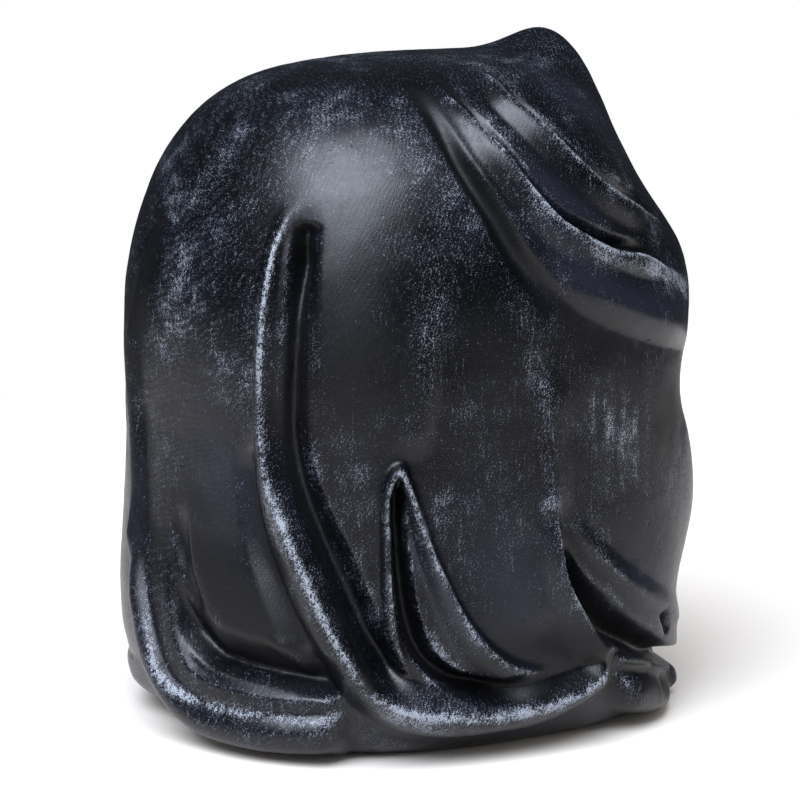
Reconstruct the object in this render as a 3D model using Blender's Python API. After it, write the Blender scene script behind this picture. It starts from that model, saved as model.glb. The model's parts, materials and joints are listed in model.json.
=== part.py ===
# A hooded skull ornament, cast in one piece of resin and painted.
# +Z is up, the skull looks along -Y, and the piece stands on the floor at Z = 0.
# Bearings are degrees round the piece: 0 at the back, 90 at its own right side (-X), 180 in front.
import math

import bmesh
import bpy
import numpy as np

# Driving dimensions, in metres.
HEIGHT = 0.155          # floor to the tip of the hood's peak
WIDTH = 0.117           # across the hood, between its folds
DEPTH = 0.130           # front to back of the hood, between its folds
MOUTH_WIDTH = 0.074     # the hood's opening, side to side
MOUTH_HEIGHT = 0.126    # the hood's opening, sill to arch
MOUTH_SILL = 0.011      # floor to the bottom of the opening
HOLLOW_DEPTH = 0.052    # how far the opening runs back past its rim
SKULL_WIDTH = 0.062     # across the cheekbones
SKULL_HEIGHT = 0.112    # chin to crown of the skull
SKULL_SET_BACK = 0.006  # how far the teeth stay behind the front of the hood
SOCKET_WIDTH = 0.0205   # one eye socket
SOCKET_DEPTH = 0.015
TOOTH_WIDTH = 0.0050    # the widest of the teeth

# The folds are drawn in millimetres on a piece of this height, and follow the real height.
DRAWN_HEIGHT = 155.0
MM = HEIGHT / DRAWN_HEIGHT

# How fine the model is.
ROUND_STEPS = 260
CLIMB_STEPS = 190
VOXEL = 0.0009
TRIANGLES = 9400
TRIM = 0.003            # what is modelled below the floor and cut off flat

# The hood between its folds. Each row: height as a share of the whole, then how far the back, the
# sides and the front stand out as shares of half the depth or width, then how square the plan is.
HOOD_ROWS = (
    (0.000, 0.870, 0.860, 0.780, 2.6),
    (0.026, 0.935, 0.915, 0.835, 2.6),
    (0.064, 0.992, 0.970, 0.885, 2.6),
    (0.116, 1.030, 1.000, 0.905, 2.6),
    (0.193, 1.045, 1.010, 0.910, 2.6),
    (0.322, 1.025, 0.996, 0.925, 2.6),
    (0.451, 1.015, 0.986, 0.940, 2.6),
    (0.580, 1.020, 0.986, 0.950, 2.5),
    (0.676, 1.003, 0.970, 0.942, 2.1),
    (0.758, 0.952, 0.922, 0.892, 1.75),
    (0.834, 0.876, 0.840, 0.830, 1.6),
    (0.896, 0.767, 0.718, 0.770, 1.55),
    (0.9395, 0.620, 0.555, 0.690, 1.6),
    (0.963, 0.405, 0.360, 0.525, 1.8),
    (0.9715, 0.178, 0.158, 0.250, 2.0),
    (0.9735, 0.000, 0.000, 0.000, 2.0),
)
BACK_SQUARENESS = 2.3
FRONT_START = 0.3       # how far behind the middle the front's own squareness begins
CROWN_LIFT = 0.0002     # how far the last point of the crown stands over the ring round it
HAND_BLEND = 0.0004     # over how much of its line a fold goes from its left to its right width


def fold(path, lift, left, right, kind="soft", ends=(0.12, 0.12)):
    """One stroke of the carving along (bearing, height) points, in drawn millimetres.

    A positive lift is a ridge and a negative one a groove. Left and right are its widths on either
    hand of somebody who walks along the path. Lift and widths are one number each, or several that
    follow one another evenly from start to finish. The ends say over which share of the path the
    stroke rises and falls.
    """
    lift, left, right = (
        value if isinstance(value, tuple) else (value, value) for value in (lift, left, right)
    )
    return {"path": path, "lift": lift, "left": left, "right": right, "kind": kind, "ends": ends}


def along_path(values, share):
    """A stroke's value at each share of its path."""
    return np.interp(share, np.linspace(0, 1, len(values)), values)


# The side that carries the deep folds.
RIGHT_FOLDS = (
    # Three folds that run from the crown down to the front rim, each with a crease above its edge.
    fold([(106, 149.5), (94.5, 147.5), (92, 143.5), (95, 139.4), (98.8, 135), (102.5, 130.7),
          (108.2, 125.6), (115.8, 121), (126.8, 117), (141, 112)], 3.0, (2.0, 3.0), (4.5, 7.5),
         "soft", (0.3, 0.35)),
    fold([(108, 148.5), (97.5, 145), (97.5, 141.5), (100, 137.8), (103.4, 133.4), (109, 128.5),
          (116.4, 124), (126, 120), (140, 115.5)], -2.8, (2.6, 5.0), (1.7, 2.2), "soft",
         (0.4, 0.25)),
    fold([(64.5, 149.5), (69, 146), (75.2, 141), (78.4, 136), (82.6, 131), (86.2, 125.9),
          (90.6, 120.3), (98, 115), (106, 111), (116.5, 108.3), (129.8, 102.5), (145, 96.5)],
         3.4, (1.9, 2.8), (4.6, 10), "soft", (0.3, 0.35)),
    fold([(69, 148.8), (74, 143.9), (78.4, 139), (81.6, 135), (84.8, 130), (88.8, 124.8),
          (93.6, 120.3), (100.4, 116.6), (108.2, 113), (118.4, 110.2), (128.5, 105.8)],
         -3.2, (2.4, 3.2), (1.6, 2.0), "soft", (0.3, 0.3)),
    fold([(57, 149), (59.5, 145.5), (63.5, 141), (68, 134), (72.4, 127.4), (76.4, 121), (80.4, 113.8),
          (85.4, 106.5), (92, 98)], -3.6, (2.2, 4.2), (3, 6), "soft", (0.4, 0.35)),
    # The swag that hangs below them.
    fold([(83, 115), (88.6, 111), (96, 105), (107.4, 99.2), (121, 94.3), (143, 88.8)], 3.2,
         (6, 9), (4.4, 6.5), "roll", (0.4, 0.35)),
    # The long fold that starts as the lip of a pocket and turns into the base roll.
    fold([(34, 124.6), (31.6, 125), (29.4, 123.4), (27.8, 119), (27, 112), (26.6, 104), (26.2, 94),
          (25.9, 82), (26.6, 70), (29, 60), (32, 53)], 2.4, (1.6, 5), (3.0, 3.4), "soft",
         (0.3, 0.25)),
    fold([(26, 84), (26.4, 73), (28.2, 63.5), (32, 53), (35.6, 44), (39.2, 34.8), (43.2, 26),
          (48, 18.3), (54, 13), (63, 10.6), (75, 10), (87.8, 11.6), (97, 14.6), (103.6, 18.2)],
         (5.2, 5.4, 5.6, 5.6, 5.6, 5.2, 4.0), (3.2, 4.2, 5.2, 6, 6.4, 5.6, 2.6),
         (6, 6.6, 7.4, 8.2, 8.6, 7.6, 4.5), "soft", (0.3, 0.04)),
    fold([(32.4, 121.6), (32.2, 115), (32, 107), (31.8, 98)], -5.4, 3.0, 3.2, "round", (0.0, 0.85)),
    fold([(32.2, 119), (32.2, 108), (32, 96), (31.4, 84), (31.4, 74), (33, 65), (36, 56)], -4.0,
         (3.4, 6, 7, 6), (2.8, 3.6), "soft", (0.15, 0.45)),
    fold([(31.2, 84), (31.4, 73), (33.2, 64), (36.4, 54.6), (40, 45.6), (43.4, 37), (46.6, 28),
          (51, 20), (58, 15.4)], -4.8, (5, 6, 6), (2.2, 2.8), "soft", (0.45, 0.15)),
    fold([(21.8, 72), (22.6, 61), (25, 50.6), (29, 41), (34, 31), (40.5, 20)], -2.2, (3, 2.6),
         (5, 6)),
    fold([(31.8, 82), (33, 71), (35.6, 60), (39, 50), (42.6, 40), (46.2, 30), (50.4, 19)], 1.2, 1.4,
         1.3),
    # The slot with a pointed top, and the fold that goes up its near side, over and down the far one.
    fold([(52.2, 62.0), (52.3, 56.2), (52.7, 49.3), (53.4, 41.6), (54.4, 34.8), (56, 28.6),
          (59.4, 22.6), (64.6, 18.2), (72, 16), (84, 16.4)], -6.6, (1.6, 4.0), (1.4, 2.4), "round",
         (0.0, 0.25)),
    fold([(60, 14.4), (55.6, 18.8), (53.2, 25), (51.6, 33), (50.8, 42), (50.4, 52), (50.3, 60),
          (51, 65), (52.6, 67.6), (54.2, 64), (55.8, 59), (57.4, 53.6), (59.2, 48), (61.4, 42.4),
          (64.2, 36), (68, 29.6), (73.4, 23.8), (81, 19.4), (89, 17.6)],
         (3.2, 3.6, 3.8, 4.0, 4.2, 4.2, 3.8), (4.8, 2.8, 2.1, 1.7, 1.6, 1.8, 2.6),
         (1.6, 1.5, 1.5, 1.8, 4.2, 7.0, 8.5), "soft", (0.15, 0.15)),
    # The third fold, which opens into a deep hollow above the front lobe.
    fold([(88.4, 62), (88.6, 52), (89.4, 43.6), (91.2, 38), (94.8, 31.4), (99.4, 23.6),
          (105.4, 19.6)], 2.8, (1.8, 2.0), (5, 7), "soft", (0.4, 0.1)),
    fold([(90.4, 48.4), (91.8, 41), (94.8, 35), (99.6, 29), (106, 23.6), (113, 19.6), (120, 16.2),
          (128, 13), (138, 10.4), (150, 8.4), (160, 8)], (-6, -7.2, -7.4, -8.0, -8.4),
         (2, 7.4, 6.0, 3.6, 3.2), (1.6, 2.4, 2.2, 2.0, 2.0), "soft", (0.1, 0.08)),
    fold([(92.4, 55), (97.6, 46.6), (104.6, 39), (112, 33), (121, 27.6), (132, 22.6), (146, 19)],
         (2.0, 2.0, 1.2, 0.1), (3, 7), (1.8, 2.6), "soft", (0.35, 0.15)),
    fold([(121.8, 27), (124.3, 23.4), (126.4, 19.6)], -3.2, 1.6, 1.8, "soft", (0.35, 0.2)),
    fold([(83, 31.6), (90, 27), (97.5, 22.4)], -1.4, 4.6, 3.4, "soft", (0.4, 0.2)),
    # The front lobe of the hem, with its dished face.
    fold([(103, 12.5), (111, 9.6), (121, 6.8), (132, 5.2), (145, 4.6)], (3.0, 4.0, 3.8, 3.4),
         (4.6, 5.2, 4.4, 3.8), (5, 5), "roll", (0.25, 0.05)),
    fold([(121, 9.8), (128, 8), (136, 6.6), (144, 6)], -3.0, 3.4, 3.2, "soft", (0.3, 0.1)),
    fold([(103.4, 19.4), (109, 17.8), (114, 16.6), (120, 15)], 1.3, 1.3, 1.5, "soft", (0.3, 0.2)),
    # Low upright swells of the plain cloth.
    fold([(58.8, 104.7), (58, 91.5), (57.2, 80.8), (54, 69)], 1.2, 5.0, 6.0, "soft", (0.3, 0.2)),
    fold([(87, 88), (87.8, 70), (88.4, 52)], 1.0, 7.0, 5.0, "soft", (0.3, 0.2)),
)

# The back: a long panel between two ridges, above a hem roll with a ledge.
BACK_FOLDS = (
    fold([(-12, 114), (-13, 103), (-14.4, 90), (-14.6, 78), (-13.4, 64), (-12, 50), (-10.6, 38)],
         2.4, (4, 6), (3, 4), "soft", (0.4, 0.1)),
    fold([(-12.4, 56), (-11, 44), (-8.8, 33.5), (-5.6, 25), (-1.6, 16.5), (3.6, 10.2), (10, 7.2),
          (20, 6.2), (31, 6.4), (43, 8)], 3.0, (3.2, 3.6), (3.6, 6.4), "roll", (0.3, 0.08)),
    fold([(-11, 48), (-9, 36), (-6, 26), (-2, 17), (3.4, 10.6), (10, 7.8), (20, 6.8), (31, 6.8),
          (43, 8)], 3.2, (13.5, 13, 12.2, 11.8, 10.8), (4, 7), "shelf", (0.5, 0.05)),
    fold([(3, 42), (4.2, 33), (6.8, 25.4), (12, 21), (19, 19.6), (27, 18.8), (35, 18), (43, 17.4)],
         -3.4, (7, 6), (1.4, 1.6), "soft", (0.4, 0.1)),
    fold([(2.4, 56), (3.4, 47), (6.2, 38), (10, 30)], -1.6, 3.6, 3.0, "soft", (0.4, 0.25)),
    fold([(26.5, 28.4), (31, 24.6), (36.4, 19.6)], 1.4, 2.2, 2.4),
)

# The side away from the deep folds, carved in the same way and plainer.
LEFT_FOLDS = (
    fold([(-84, 146), (-88, 138), (-97, 128), (-110, 119), (-126, 111), (-150, 104)], 2.8, 6.0, 4.0),
    fold([(-74, 147), (-79, 138), (-88, 128), (-100, 119), (-116, 110), (-140, 103)], -2.8, 3.4,
         3.4, "crease"),
    fold([(-66, 143), (-74, 131), (-84, 121), (-97, 111), (-113, 103), (-148, 95)], 3.2, 6.5, 4.0),
    fold([(-76, 118), (-86, 108), (-100, 98), (-118, 92), (-138, 88)], 3.0, 8.0, 6.0, "round",
         (0.35, 0.1)),
    fold([(-46, 112), (-45, 98), (-44, 82), (-45, 64), (-49, 48), (-56, 33), (-68, 21), (-82, 15),
          (-96, 14), (-110, 16)], 4.0, 4.0, 6.0, "round", (0.35, 0.1)),
    fold([(-50, 110), (-49, 94), (-49, 78), (-51, 62), (-56, 46), (-64, 33), (-76, 24)], -3.6, 4.5,
         2.8, "soft", (0.05, 0.2)),
    fold([(-86, 70), (-87, 56), (-91, 43), (-99, 31), (-110, 23)], -4.4, 3.6, 2.8, "soft",
         (0.05, 0.2)),
    fold([(-83, 72), (-83.5, 56), (-87, 42), (-95, 29), (-107, 20)], 2.8, 2.6, 5.0),
    fold([(-104, 30), (-112, 23), (-124, 18), (-138, 17)], -3.6, 3.4, 3.4, "soft", (0.3, 0.1)),
    fold([(-112, 13), (-124, 9), (-138, 8)], 2.2, 4.0, 4.0, "soft", (0.3, 0.1)),
)

# The hem where it runs on under the left side and across the front.
HEM_FOLDS = (
    fold([(-10, 9), (-30, 8), (-52, 8), (-74, 8.5), (-96, 9), (-120, 8.5), (-142, 8)], 2.0, 4.5,
         5.5, "round", (0.1, 0.1)),
    fold([(138, 6.5), (150, 5.5), (165, 5), (180, 5), (195, 5), (210, 5.5), (222, 6.5)], 2.6, 4.5,
         4.5, "round", (0.1, 0.1)),
)

# Broad swells and hollows: bearing, height, lift, then the reach in degrees and in height.
SWELLS = (
    (147, 106, 2.4, 14, 15),
    (149, 77, -3.2, 14, 10),
    (147, 50, 2.4, 14, 13),
    (146, 27, -2.0, 13, 9),
    (130, 5, 1.0, 15, 7),
    (124, 0, 1.2, 18, 5),
    (104, 9, 1.6, 18, 8),
    (20, 5, 1.4, 26, 6),
    (12, 62, -1.6, 15, 34),
    (44, 84, 1.2, 14, 36),
    (-148, 90, 2.4, 16, 15),
    (-148, 70, -2.2, 14, 10),
    (-146, 46, 1.8, 14, 13),
    (-130, 9, 3.6, 17, 10),
)

# The peak over the brow, in metres.
PEAK_FORWARD = 0.0385   # how far forward its middle sits
PEAK_REACH_ACROSS = 0.013
PEAK_REACH_ALONG = 0.0096
PEAK_FOOT = 0.112       # the height where it begins
PEAK_GROWTH = 0.030     # over how much height it grows to its full rise

# Where the mouth's rim and the skull's teeth sit, as shares of half the hood's depth in front.
RIM_PLACE = 0.80
TEETH_PLACE = 0.96

# The mouth of the hood, front to back: place as a share of its depth, then the share of its size.
MOUTH_STATIONS = (
    (-0.70, 1.12),
    (-0.20, 1.05),
    (0.00, 0.98),
    (0.25, 1.00),
    (0.60, 0.96),
    (0.85, 0.78),
    (1.00, 0.40),
)
MOUTH_SIDES = 64


# The plain skull, chin to crown: height as a share of its own height, then in shares of its half
# width how wide it is, how far its front is set back and how far it runs back from there.
SKULL_ROWS = (
    (0.000, 0.30, 0.22, 2.00),
    (0.030, 0.56, 0.05, 2.20),
    (0.090, 0.66, 0.00, 2.30),
    (0.160, 0.72, 0.09, 2.40),
    (0.240, 0.74, 0.07, 2.50),
    (0.310, 0.72, 0.04, 2.60),
    (0.380, 0.72, 0.06, 2.60),
    (0.450, 0.78, 0.15, 2.60),
    (0.520, 0.93, 0.26, 2.60),
    (0.590, 1.00, 0.31, 2.60),
    (0.660, 0.98, 0.28, 2.70),
    (0.740, 0.92, 0.22, 2.80),
    (0.820, 0.92, 0.26, 2.80),
    (0.900, 0.90, 0.42, 2.60),
    (0.960, 0.76, 0.68, 2.10),
    (1.000, 0.45, 1.00, 1.40),
)
SKULL_SQUARENESS = 2.2
TEETH_PER_SIDE = 6

# The skull's face is drawn in millimetres on a skull of this height.
DRAWN_SKULL_HEIGHT = 112.0
SKULL_MM = SKULL_HEIGHT / DRAWN_SKULL_HEIGHT
CHIN_GAP = 0.002        # from the mouth's sill up to the chin
SKULL_ROUND_STEPS = 420
SKULL_CLIMB_STEPS = 230

# What the face carries on each side of its middle line: a lift and a half width on a path, or a
# lift, a middle, two radii and the share of the radius over which it fades.
FACE_RIDGES = (
    (3.2, 5.0, ((2, 81), (9, 85.5), (18, 87), (26, 83), (30, 75))),    # brow
    (4.6, 5.5, ((0, 83), (0, 76), (0, 69), (0, 64.5))),                # bridge of the nose
    (4.6, 5.6, ((10, 62), (17, 59), (25, 60.5), (31, 67))),            # cheekbone
    (-2.0, 4.0, ((4, 17.5), (12, 18), (20, 20))),                      # over the chin
)
FACE_BUMPS = (
    (2.0, (0, 85), (7, 7), 1.0),           # between the brows
    (1.6, (0, 46), (17, 9), 0.7),          # upper jaw
    (1.8, (6.5, 6), (8, 7), 0.9),          # chin
    (-7.5, (22.5, 46), (7.5, 12), 0.9),    # cheek
    (-4.5, (29, 93), (9, 12), 0.9),        # temple
    (-1.8, (0, 35.2), (21, 1.5), 0.8),     # between the rows of teeth
)
SOCKET_MIDDLE = (14.6, 73)
SOCKET_HALF_HEIGHT = 9.4
SOCKET_TILT = 12        # degrees
SOCKET_SQUARENESS = 2.5
SOCKET_EDGE = 0.30
SOCKET_SPREAD = 1.04    # how far the slope of a socket's edge runs out past its size
NOSE_DEPTH = 10.0
NOSE_LOBES = (((3.4, 53.5), (4.0, 6.6)), ((0, 59.5), (3.4, 8.6)))
NOSE_EDGE = 0.35
NOSE_BAR = ((0, 50), (1.1, 8), 0.6)
NOSE_BAR_SHARE = 0.55   # how much of the nose's depth the bar in its middle fills
UPPER_TEETH = (36.0, 43.6)
LOWER_TEETH = (26.6, 34.4)
UPPER_ROOTS = (41.5, 50.0)
LOWER_ROOTS = (20.0, 29.0)
TOOTH_LIFT = 1.9
ROOT_LIFT = 0.5
LOWER_TOOTH_SHARE = 0.92
TOOTH_TAPER = 0.07      # how much narrower each next tooth is
TOOTH_DROP = 0.05       # how much less each next tooth stands out
LONG_TOOTH = 2          # the third tooth from the middle
LONG_TOOTH_EXTRA = 0.6
FRONT_SPREAD = 0.30     # how far the skull's columns of points crowd towards its face
FACE_FADE = 2.5         # how fast the face's relief comes in round the sides


def slope_curve(places, values, at):
    """A smooth curve through values at places, read at the given places."""
    slopes = np.gradient(values, places)
    cell = np.clip(np.searchsorted(places, at, side="right") - 1, 0, len(places) - 2)
    span = places[cell + 1] - places[cell]
    s = (at - places[cell]) / span
    return (
        (2 * s**3 - 3 * s**2 + 1) * values[cell]
        + (s**3 - 2 * s**2 + s) * span * slopes[cell]
        + (3 * s**2 - 2 * s**3) * values[cell + 1]
        + (s**3 - s**2) * span * slopes[cell + 1]
    )


def hood_rows():
    """The hood's rows in metres, and the climb from 0 at the floor to 1 at the crown of each."""
    rows = np.array(HOOD_ROWS)
    rows[:, 0] *= HEIGHT
    rows[:, 1] *= DEPTH / 2
    rows[:, 2] *= WIDTH / 2
    rows[:, 3] *= DEPTH / 2
    reach = (rows[:, 1] + rows[:, 2]) / 2
    climb = np.concatenate([[0.0], np.cumsum(np.hypot(np.diff(reach), np.diff(rows[:, 0])))])
    return rows, climb / climb[-1]


def hood_points(bearings, climbs):
    """Points of the plain hood at bearings in degrees and climbs from 0 to 1."""
    rows, places = hood_rows()
    height, back, side, front, square = (slope_curve(places, rows[:, i], climbs) for i in range(5))
    turn = np.radians(bearings)
    ahead = np.cos(turn)
    frontness = np.clip((FRONT_START - ahead) / (1 + FRONT_START), 0, 1)
    frontness = frontness**2 * (3 - 2 * frontness)
    power = BACK_SQUARENESS + (square - BACK_SQUARENESS) * frontness
    depth = np.maximum(np.where(ahead > 0, back, front), 1e-7)
    half_width = np.maximum(side, 1e-7)
    out = (np.abs(ahead) / depth) ** power + (np.abs(np.sin(turn)) / half_width) ** power
    radius = out ** (-1 / power)
    return np.stack([-radius * np.sin(turn), radius * ahead, height], axis=-1)


def hood_normals(bearings, climbs):
    """Outward directions of the plain hood."""
    turn_step = 0.5
    climb_step = 0.002
    low = np.clip(climbs - climb_step, 0, 1)
    high = np.clip(climbs + climb_step, 0, 0.9995)
    low = np.minimum(low, high - climb_step)
    round_way = hood_points(bearings + turn_step, climbs) - hood_points(bearings - turn_step, climbs)
    up_way = hood_points(bearings, high) - hood_points(bearings, low)
    normals = np.cross(round_way, up_way)
    return normals / np.linalg.norm(normals, axis=-1, keepdims=True)


def climb_at(height):
    """The climb at which the plain hood reaches a height in metres."""
    climbs = np.linspace(0, 1, 800)
    heights = hood_points(np.zeros_like(climbs), climbs)[:, 2]
    return np.interp(height, heights, climbs)


def fold_line(stroke):
    """Points along a stroke on the plain hood, the surface's outward way and the way along."""
    path = np.array(stroke["path"], dtype=float)
    steps = np.hypot(np.diff(path[:, 0]), np.diff(path[:, 1]))
    places = np.concatenate([[0.0], np.cumsum(steps)])
    count = int(8 * len(path))
    at = np.linspace(0, places[-1], count)
    bearings = slope_curve(places, path[:, 0], at)
    climbs = climb_at(slope_curve(places, path[:, 1], at) * MM)
    points = hood_points(bearings, climbs)
    along = np.gradient(points, axis=0)
    along /= np.linalg.norm(along, axis=1, keepdims=True)
    return points, hood_normals(bearings, climbs), along


def fold_shape(kind, q):
    """The section of a stroke at q, which is 0 on its line and 1 at its edge."""
    q = np.clip(q, 0, 1)
    if kind == "round":
        return np.sqrt(1 - q**2) * (1 - 0.25 * q)
    if kind == "crease":
        return (1 - q) ** 2 * (1 + 0.6 * q)
    if kind == "roll":
        return (1 - q**2) ** 1.25
    if kind == "shelf":
        edge = np.clip((1 - q) / 0.16, 0, 1)
        return (1 - 0.45 * q) * edge**2 * (3 - 2 * edge)
    return (1 - q**2) ** 2


def fold_lift(points, stroke):
    """How far each point is lifted by a stroke, in metres."""
    lifts = np.zeros(len(points))
    line, outward, along = fold_line(stroke)
    reach = max(stroke["left"] + stroke["right"]) * MM
    near = np.all((points > line.min(0) - reach) & (points < line.max(0) + reach), axis=1)
    chosen = np.nonzero(near)[0]
    if len(chosen) == 0:
        return lifts
    here = points[chosen]
    gaps = ((here[:, None, :] - line[None]) ** 2).sum(-1)
    nearest = gaps.argmin(1)
    away = here - line[nearest]
    step = (away * along[nearest]).sum(1)
    inside = (nearest > 0) & (nearest < len(line) - 1)
    spacing = np.linalg.norm(line[1] - line[0])
    step = np.where(inside, step, 0)
    distance = np.sqrt(np.maximum((away**2).sum(1) - step**2, 0))
    leftward = (away * np.cross(outward[nearest], along[nearest])).sum(1)
    hand = 0.5 + 0.5 * np.clip(leftward / HAND_BLEND, -1, 1)
    share = np.clip((nearest + np.clip(step / spacing, -0.5, 0.5)) / (len(line) - 1), 0, 1)
    left = along_path(stroke["left"], share)
    right = along_path(stroke["right"], share)
    width = (right + (left - right) * hand) * MM
    rise, fall = stroke["ends"]
    start = np.clip(share / rise, 0, 1) if rise else np.ones_like(share)
    finish = np.clip((1 - share) / fall, 0, 1) if fall else np.ones_like(share)
    strength = (3 * start**2 - 2 * start**3) * (3 * finish**2 - 2 * finish**3)
    height = along_path(stroke["lift"], share) * MM
    lifts[chosen] = height * strength * fold_shape(stroke["kind"], distance / width)
    return lifts


def carved_hood():
    """The hood's outer skin: rings of points from below the floor up to the crown."""
    bearings = np.arange(ROUND_STEPS) * 360.0 / ROUND_STEPS
    climbs = np.linspace(0, 1, CLIMB_STEPS)[:-1]
    grid_bearings, grid_climbs = np.meshgrid(bearings, climbs)
    points = hood_points(grid_bearings, grid_climbs).reshape(-1, 3)
    normals = hood_normals(grid_bearings, grid_climbs).reshape(-1, 3)
    lifts = np.zeros(len(points))
    for stroke in RIGHT_FOLDS + BACK_FOLDS + LEFT_FOLDS + HEM_FOLDS:
        lifts += fold_lift(points, stroke)
    flat_bearings = grid_bearings.reshape(-1)
    for bearing, height, lift, degrees, reach in SWELLS:
        turned = (flat_bearings - bearing + 180) % 360 - 180
        raised = points[:, 2] / MM - height
        lifts += lift * MM * np.exp(-((turned / degrees) ** 2) - (raised / reach) ** 2)
    lifts *= np.clip((1 - grid_climbs.reshape(-1)) / 0.04, 0, 1)
    points = points + normals * lifts[:, None]
    points[:, 2] += peak_rise(points)
    return points.reshape(len(climbs), ROUND_STEPS, 3)


def peak_rise(points):
    """How far the peak over the brow lifts each point, so that its tip reaches the full height."""
    sideways = points[:, 0] / PEAK_REACH_ACROSS
    forward = (points[:, 1] + PEAK_FORWARD) / PEAK_REACH_ALONG
    grown = np.clip((points[:, 2] - PEAK_FOOT) / PEAK_GROWTH, 0, 1)
    weights = np.exp(-(sideways**2) - forward**2) * grown
    near = weights > 0.3
    rise = ((HEIGHT - points[near, 2]) / weights[near]).min()
    return rise * weights


def object_from(name, mesh_builder):
    """An object with a mesh that mesh_builder fills."""
    mesh = bpy.data.meshes.new(name)
    bm = bmesh.new()
    mesh_builder(bm)
    bmesh.ops.recalc_face_normals(bm, faces=bm.faces)
    bm.to_mesh(mesh)
    bm.free()
    obj = bpy.data.objects.new(name, mesh)
    bpy.context.scene.collection.objects.link(obj)
    return obj


def add_rings(bm, rings, top=None):
    """Quads between rings of points, with the first ring capped, and the last capped or pointed."""
    made = [[bm.verts.new(point) for point in ring] for ring in rings]
    count = len(made[0])
    for low, high in zip(made, made[1:]):
        for i in range(count):
            j = (i + 1) % count
            bm.faces.new((low[i], low[j], high[j], high[i]))
    bm.faces.new(list(reversed(made[0])))
    if top is None:
        bm.faces.new(made[-1])
        return
    tip = bm.verts.new(top)
    for i in range(count):
        bm.faces.new((made[-1][i], made[-1][(i + 1) % count], tip))


def hood_object(name):
    """The closed hood, with a skirt below the floor that is trimmed off later."""
    rings = carved_hood()
    skirt = rings[0].copy()
    skirt[:, 2] = -TRIM
    crown = (0.0, 0.0, rings[-1][:, 2].mean() + CROWN_LIFT)
    return object_from(name, lambda bm: add_rings(bm, [skirt] + list(rings), crown))


def mouth_outline(share):
    """The mouth's outline at one station: a tall arch, square below and pointed above."""
    turns = np.linspace(0, 2 * math.pi, MOUTH_SIDES, endpoint=False)
    across = np.sin(turns)
    up = np.cos(turns)
    taper = np.where(up > 0, 1 - 0.30 * np.clip(up, 0, 1) ** 2.2, 1.0)
    squared = np.where(up > 0, 1.0, 0.72)
    x = np.sign(across) * np.abs(across) ** squared * taper * MOUTH_WIDTH / 2 * share
    z = np.sign(up) * np.abs(up) ** squared * MOUTH_HEIGHT / 2 * share
    return x, z + MOUTH_SILL + MOUTH_HEIGHT / 2


def mouth_object(name):
    """The cutter that opens the hood in front."""
    rim_y = -RIM_PLACE * DEPTH / 2
    rings = []
    for place, share in MOUTH_STATIONS:
        x, z = mouth_outline(share)
        y = np.full_like(x, rim_y + place * HOLLOW_DEPTH)
        rings.append(np.stack([x, y, z], axis=-1))
    return object_from(name, lambda bm: add_rings(bm, rings))


def skull_rows():
    """The plain skull's rows: height, half width, set-back of the front and how far back it runs."""
    rows = np.array(SKULL_ROWS)
    rows[:, 0] *= SKULL_HEIGHT
    rows[:, 1] *= SKULL_WIDTH / 2
    rows[:, 2] *= SKULL_WIDTH / 2
    rows[:, 3] *= SKULL_WIDTH / 2
    return rows


def bump(x, z, middle, radii, edge):
    """1 inside an oval and 0 outside, with an edge that is a share of its radius."""
    q = np.hypot((x - middle[0]) / radii[0], (z - middle[1]) / radii[1])
    s = np.clip((1 - q) / edge, 0, 1)
    return s * s * (3 - 2 * s)


def ridge(x, z, path, half_width):
    """1 on a line through the path's points and 0 at half_width from it."""
    path = np.array(path, dtype=float)
    places = np.linspace(0, 1, len(path))
    at = np.linspace(0, 1, 40)
    line = np.stack([slope_curve(places, path[:, i], at) for i in (0, 1)], axis=-1)
    gap = np.hypot(x[:, None] - line[:, 0], z[:, None] - line[:, 1]).min(1)
    return (1 - np.clip(gap / half_width, 0, 1) ** 2) ** 2


def tooth_row(x, z, span, width):
    """The raised faces of one row of teeth, narrower towards the sides."""
    bottom, top = span
    raised = np.zeros_like(x)
    edge = 0.0
    for number in range(TEETH_PER_SIDE):
        this_width = width * (1 - TOOTH_TAPER * number)
        across = (x - edge - this_width / 2) / (this_width / 2)
        longer = LONG_TOOTH_EXTRA if number == LONG_TOOTH else 0.0
        up = (z - (bottom + top) / 2) / ((top - bottom) / 2 + longer)
        face = np.clip(1 - np.abs(across) ** 4, 0, 1) * np.clip(1 - np.abs(up) ** 4, 0, 1)
        raised = np.maximum(raised, np.sqrt(face) * (1 - TOOTH_DROP * number))
        edge += this_width
    return raised


def socket_relief(side, z):
    """How deep the eye socket is, from 0 to 1."""
    half_width = SOCKET_WIDTH / SKULL_MM / 2
    tilt = math.radians(SOCKET_TILT)
    across = side - SOCKET_MIDDLE[0]
    up = z - SOCKET_MIDDLE[1]
    turned_x = np.abs(across * math.cos(tilt) - up * math.sin(tilt)) / half_width
    turned_z = np.abs(across * math.sin(tilt) + up * math.cos(tilt)) / SOCKET_HALF_HEIGHT
    q = (turned_x**SOCKET_SQUARENESS + turned_z**SOCKET_SQUARENESS) ** (1 / SOCKET_SQUARENESS)
    s = np.clip((SOCKET_SPREAD - q) / SOCKET_EDGE, 0, 1)
    return s * s * (3 - 2 * s)


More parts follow.
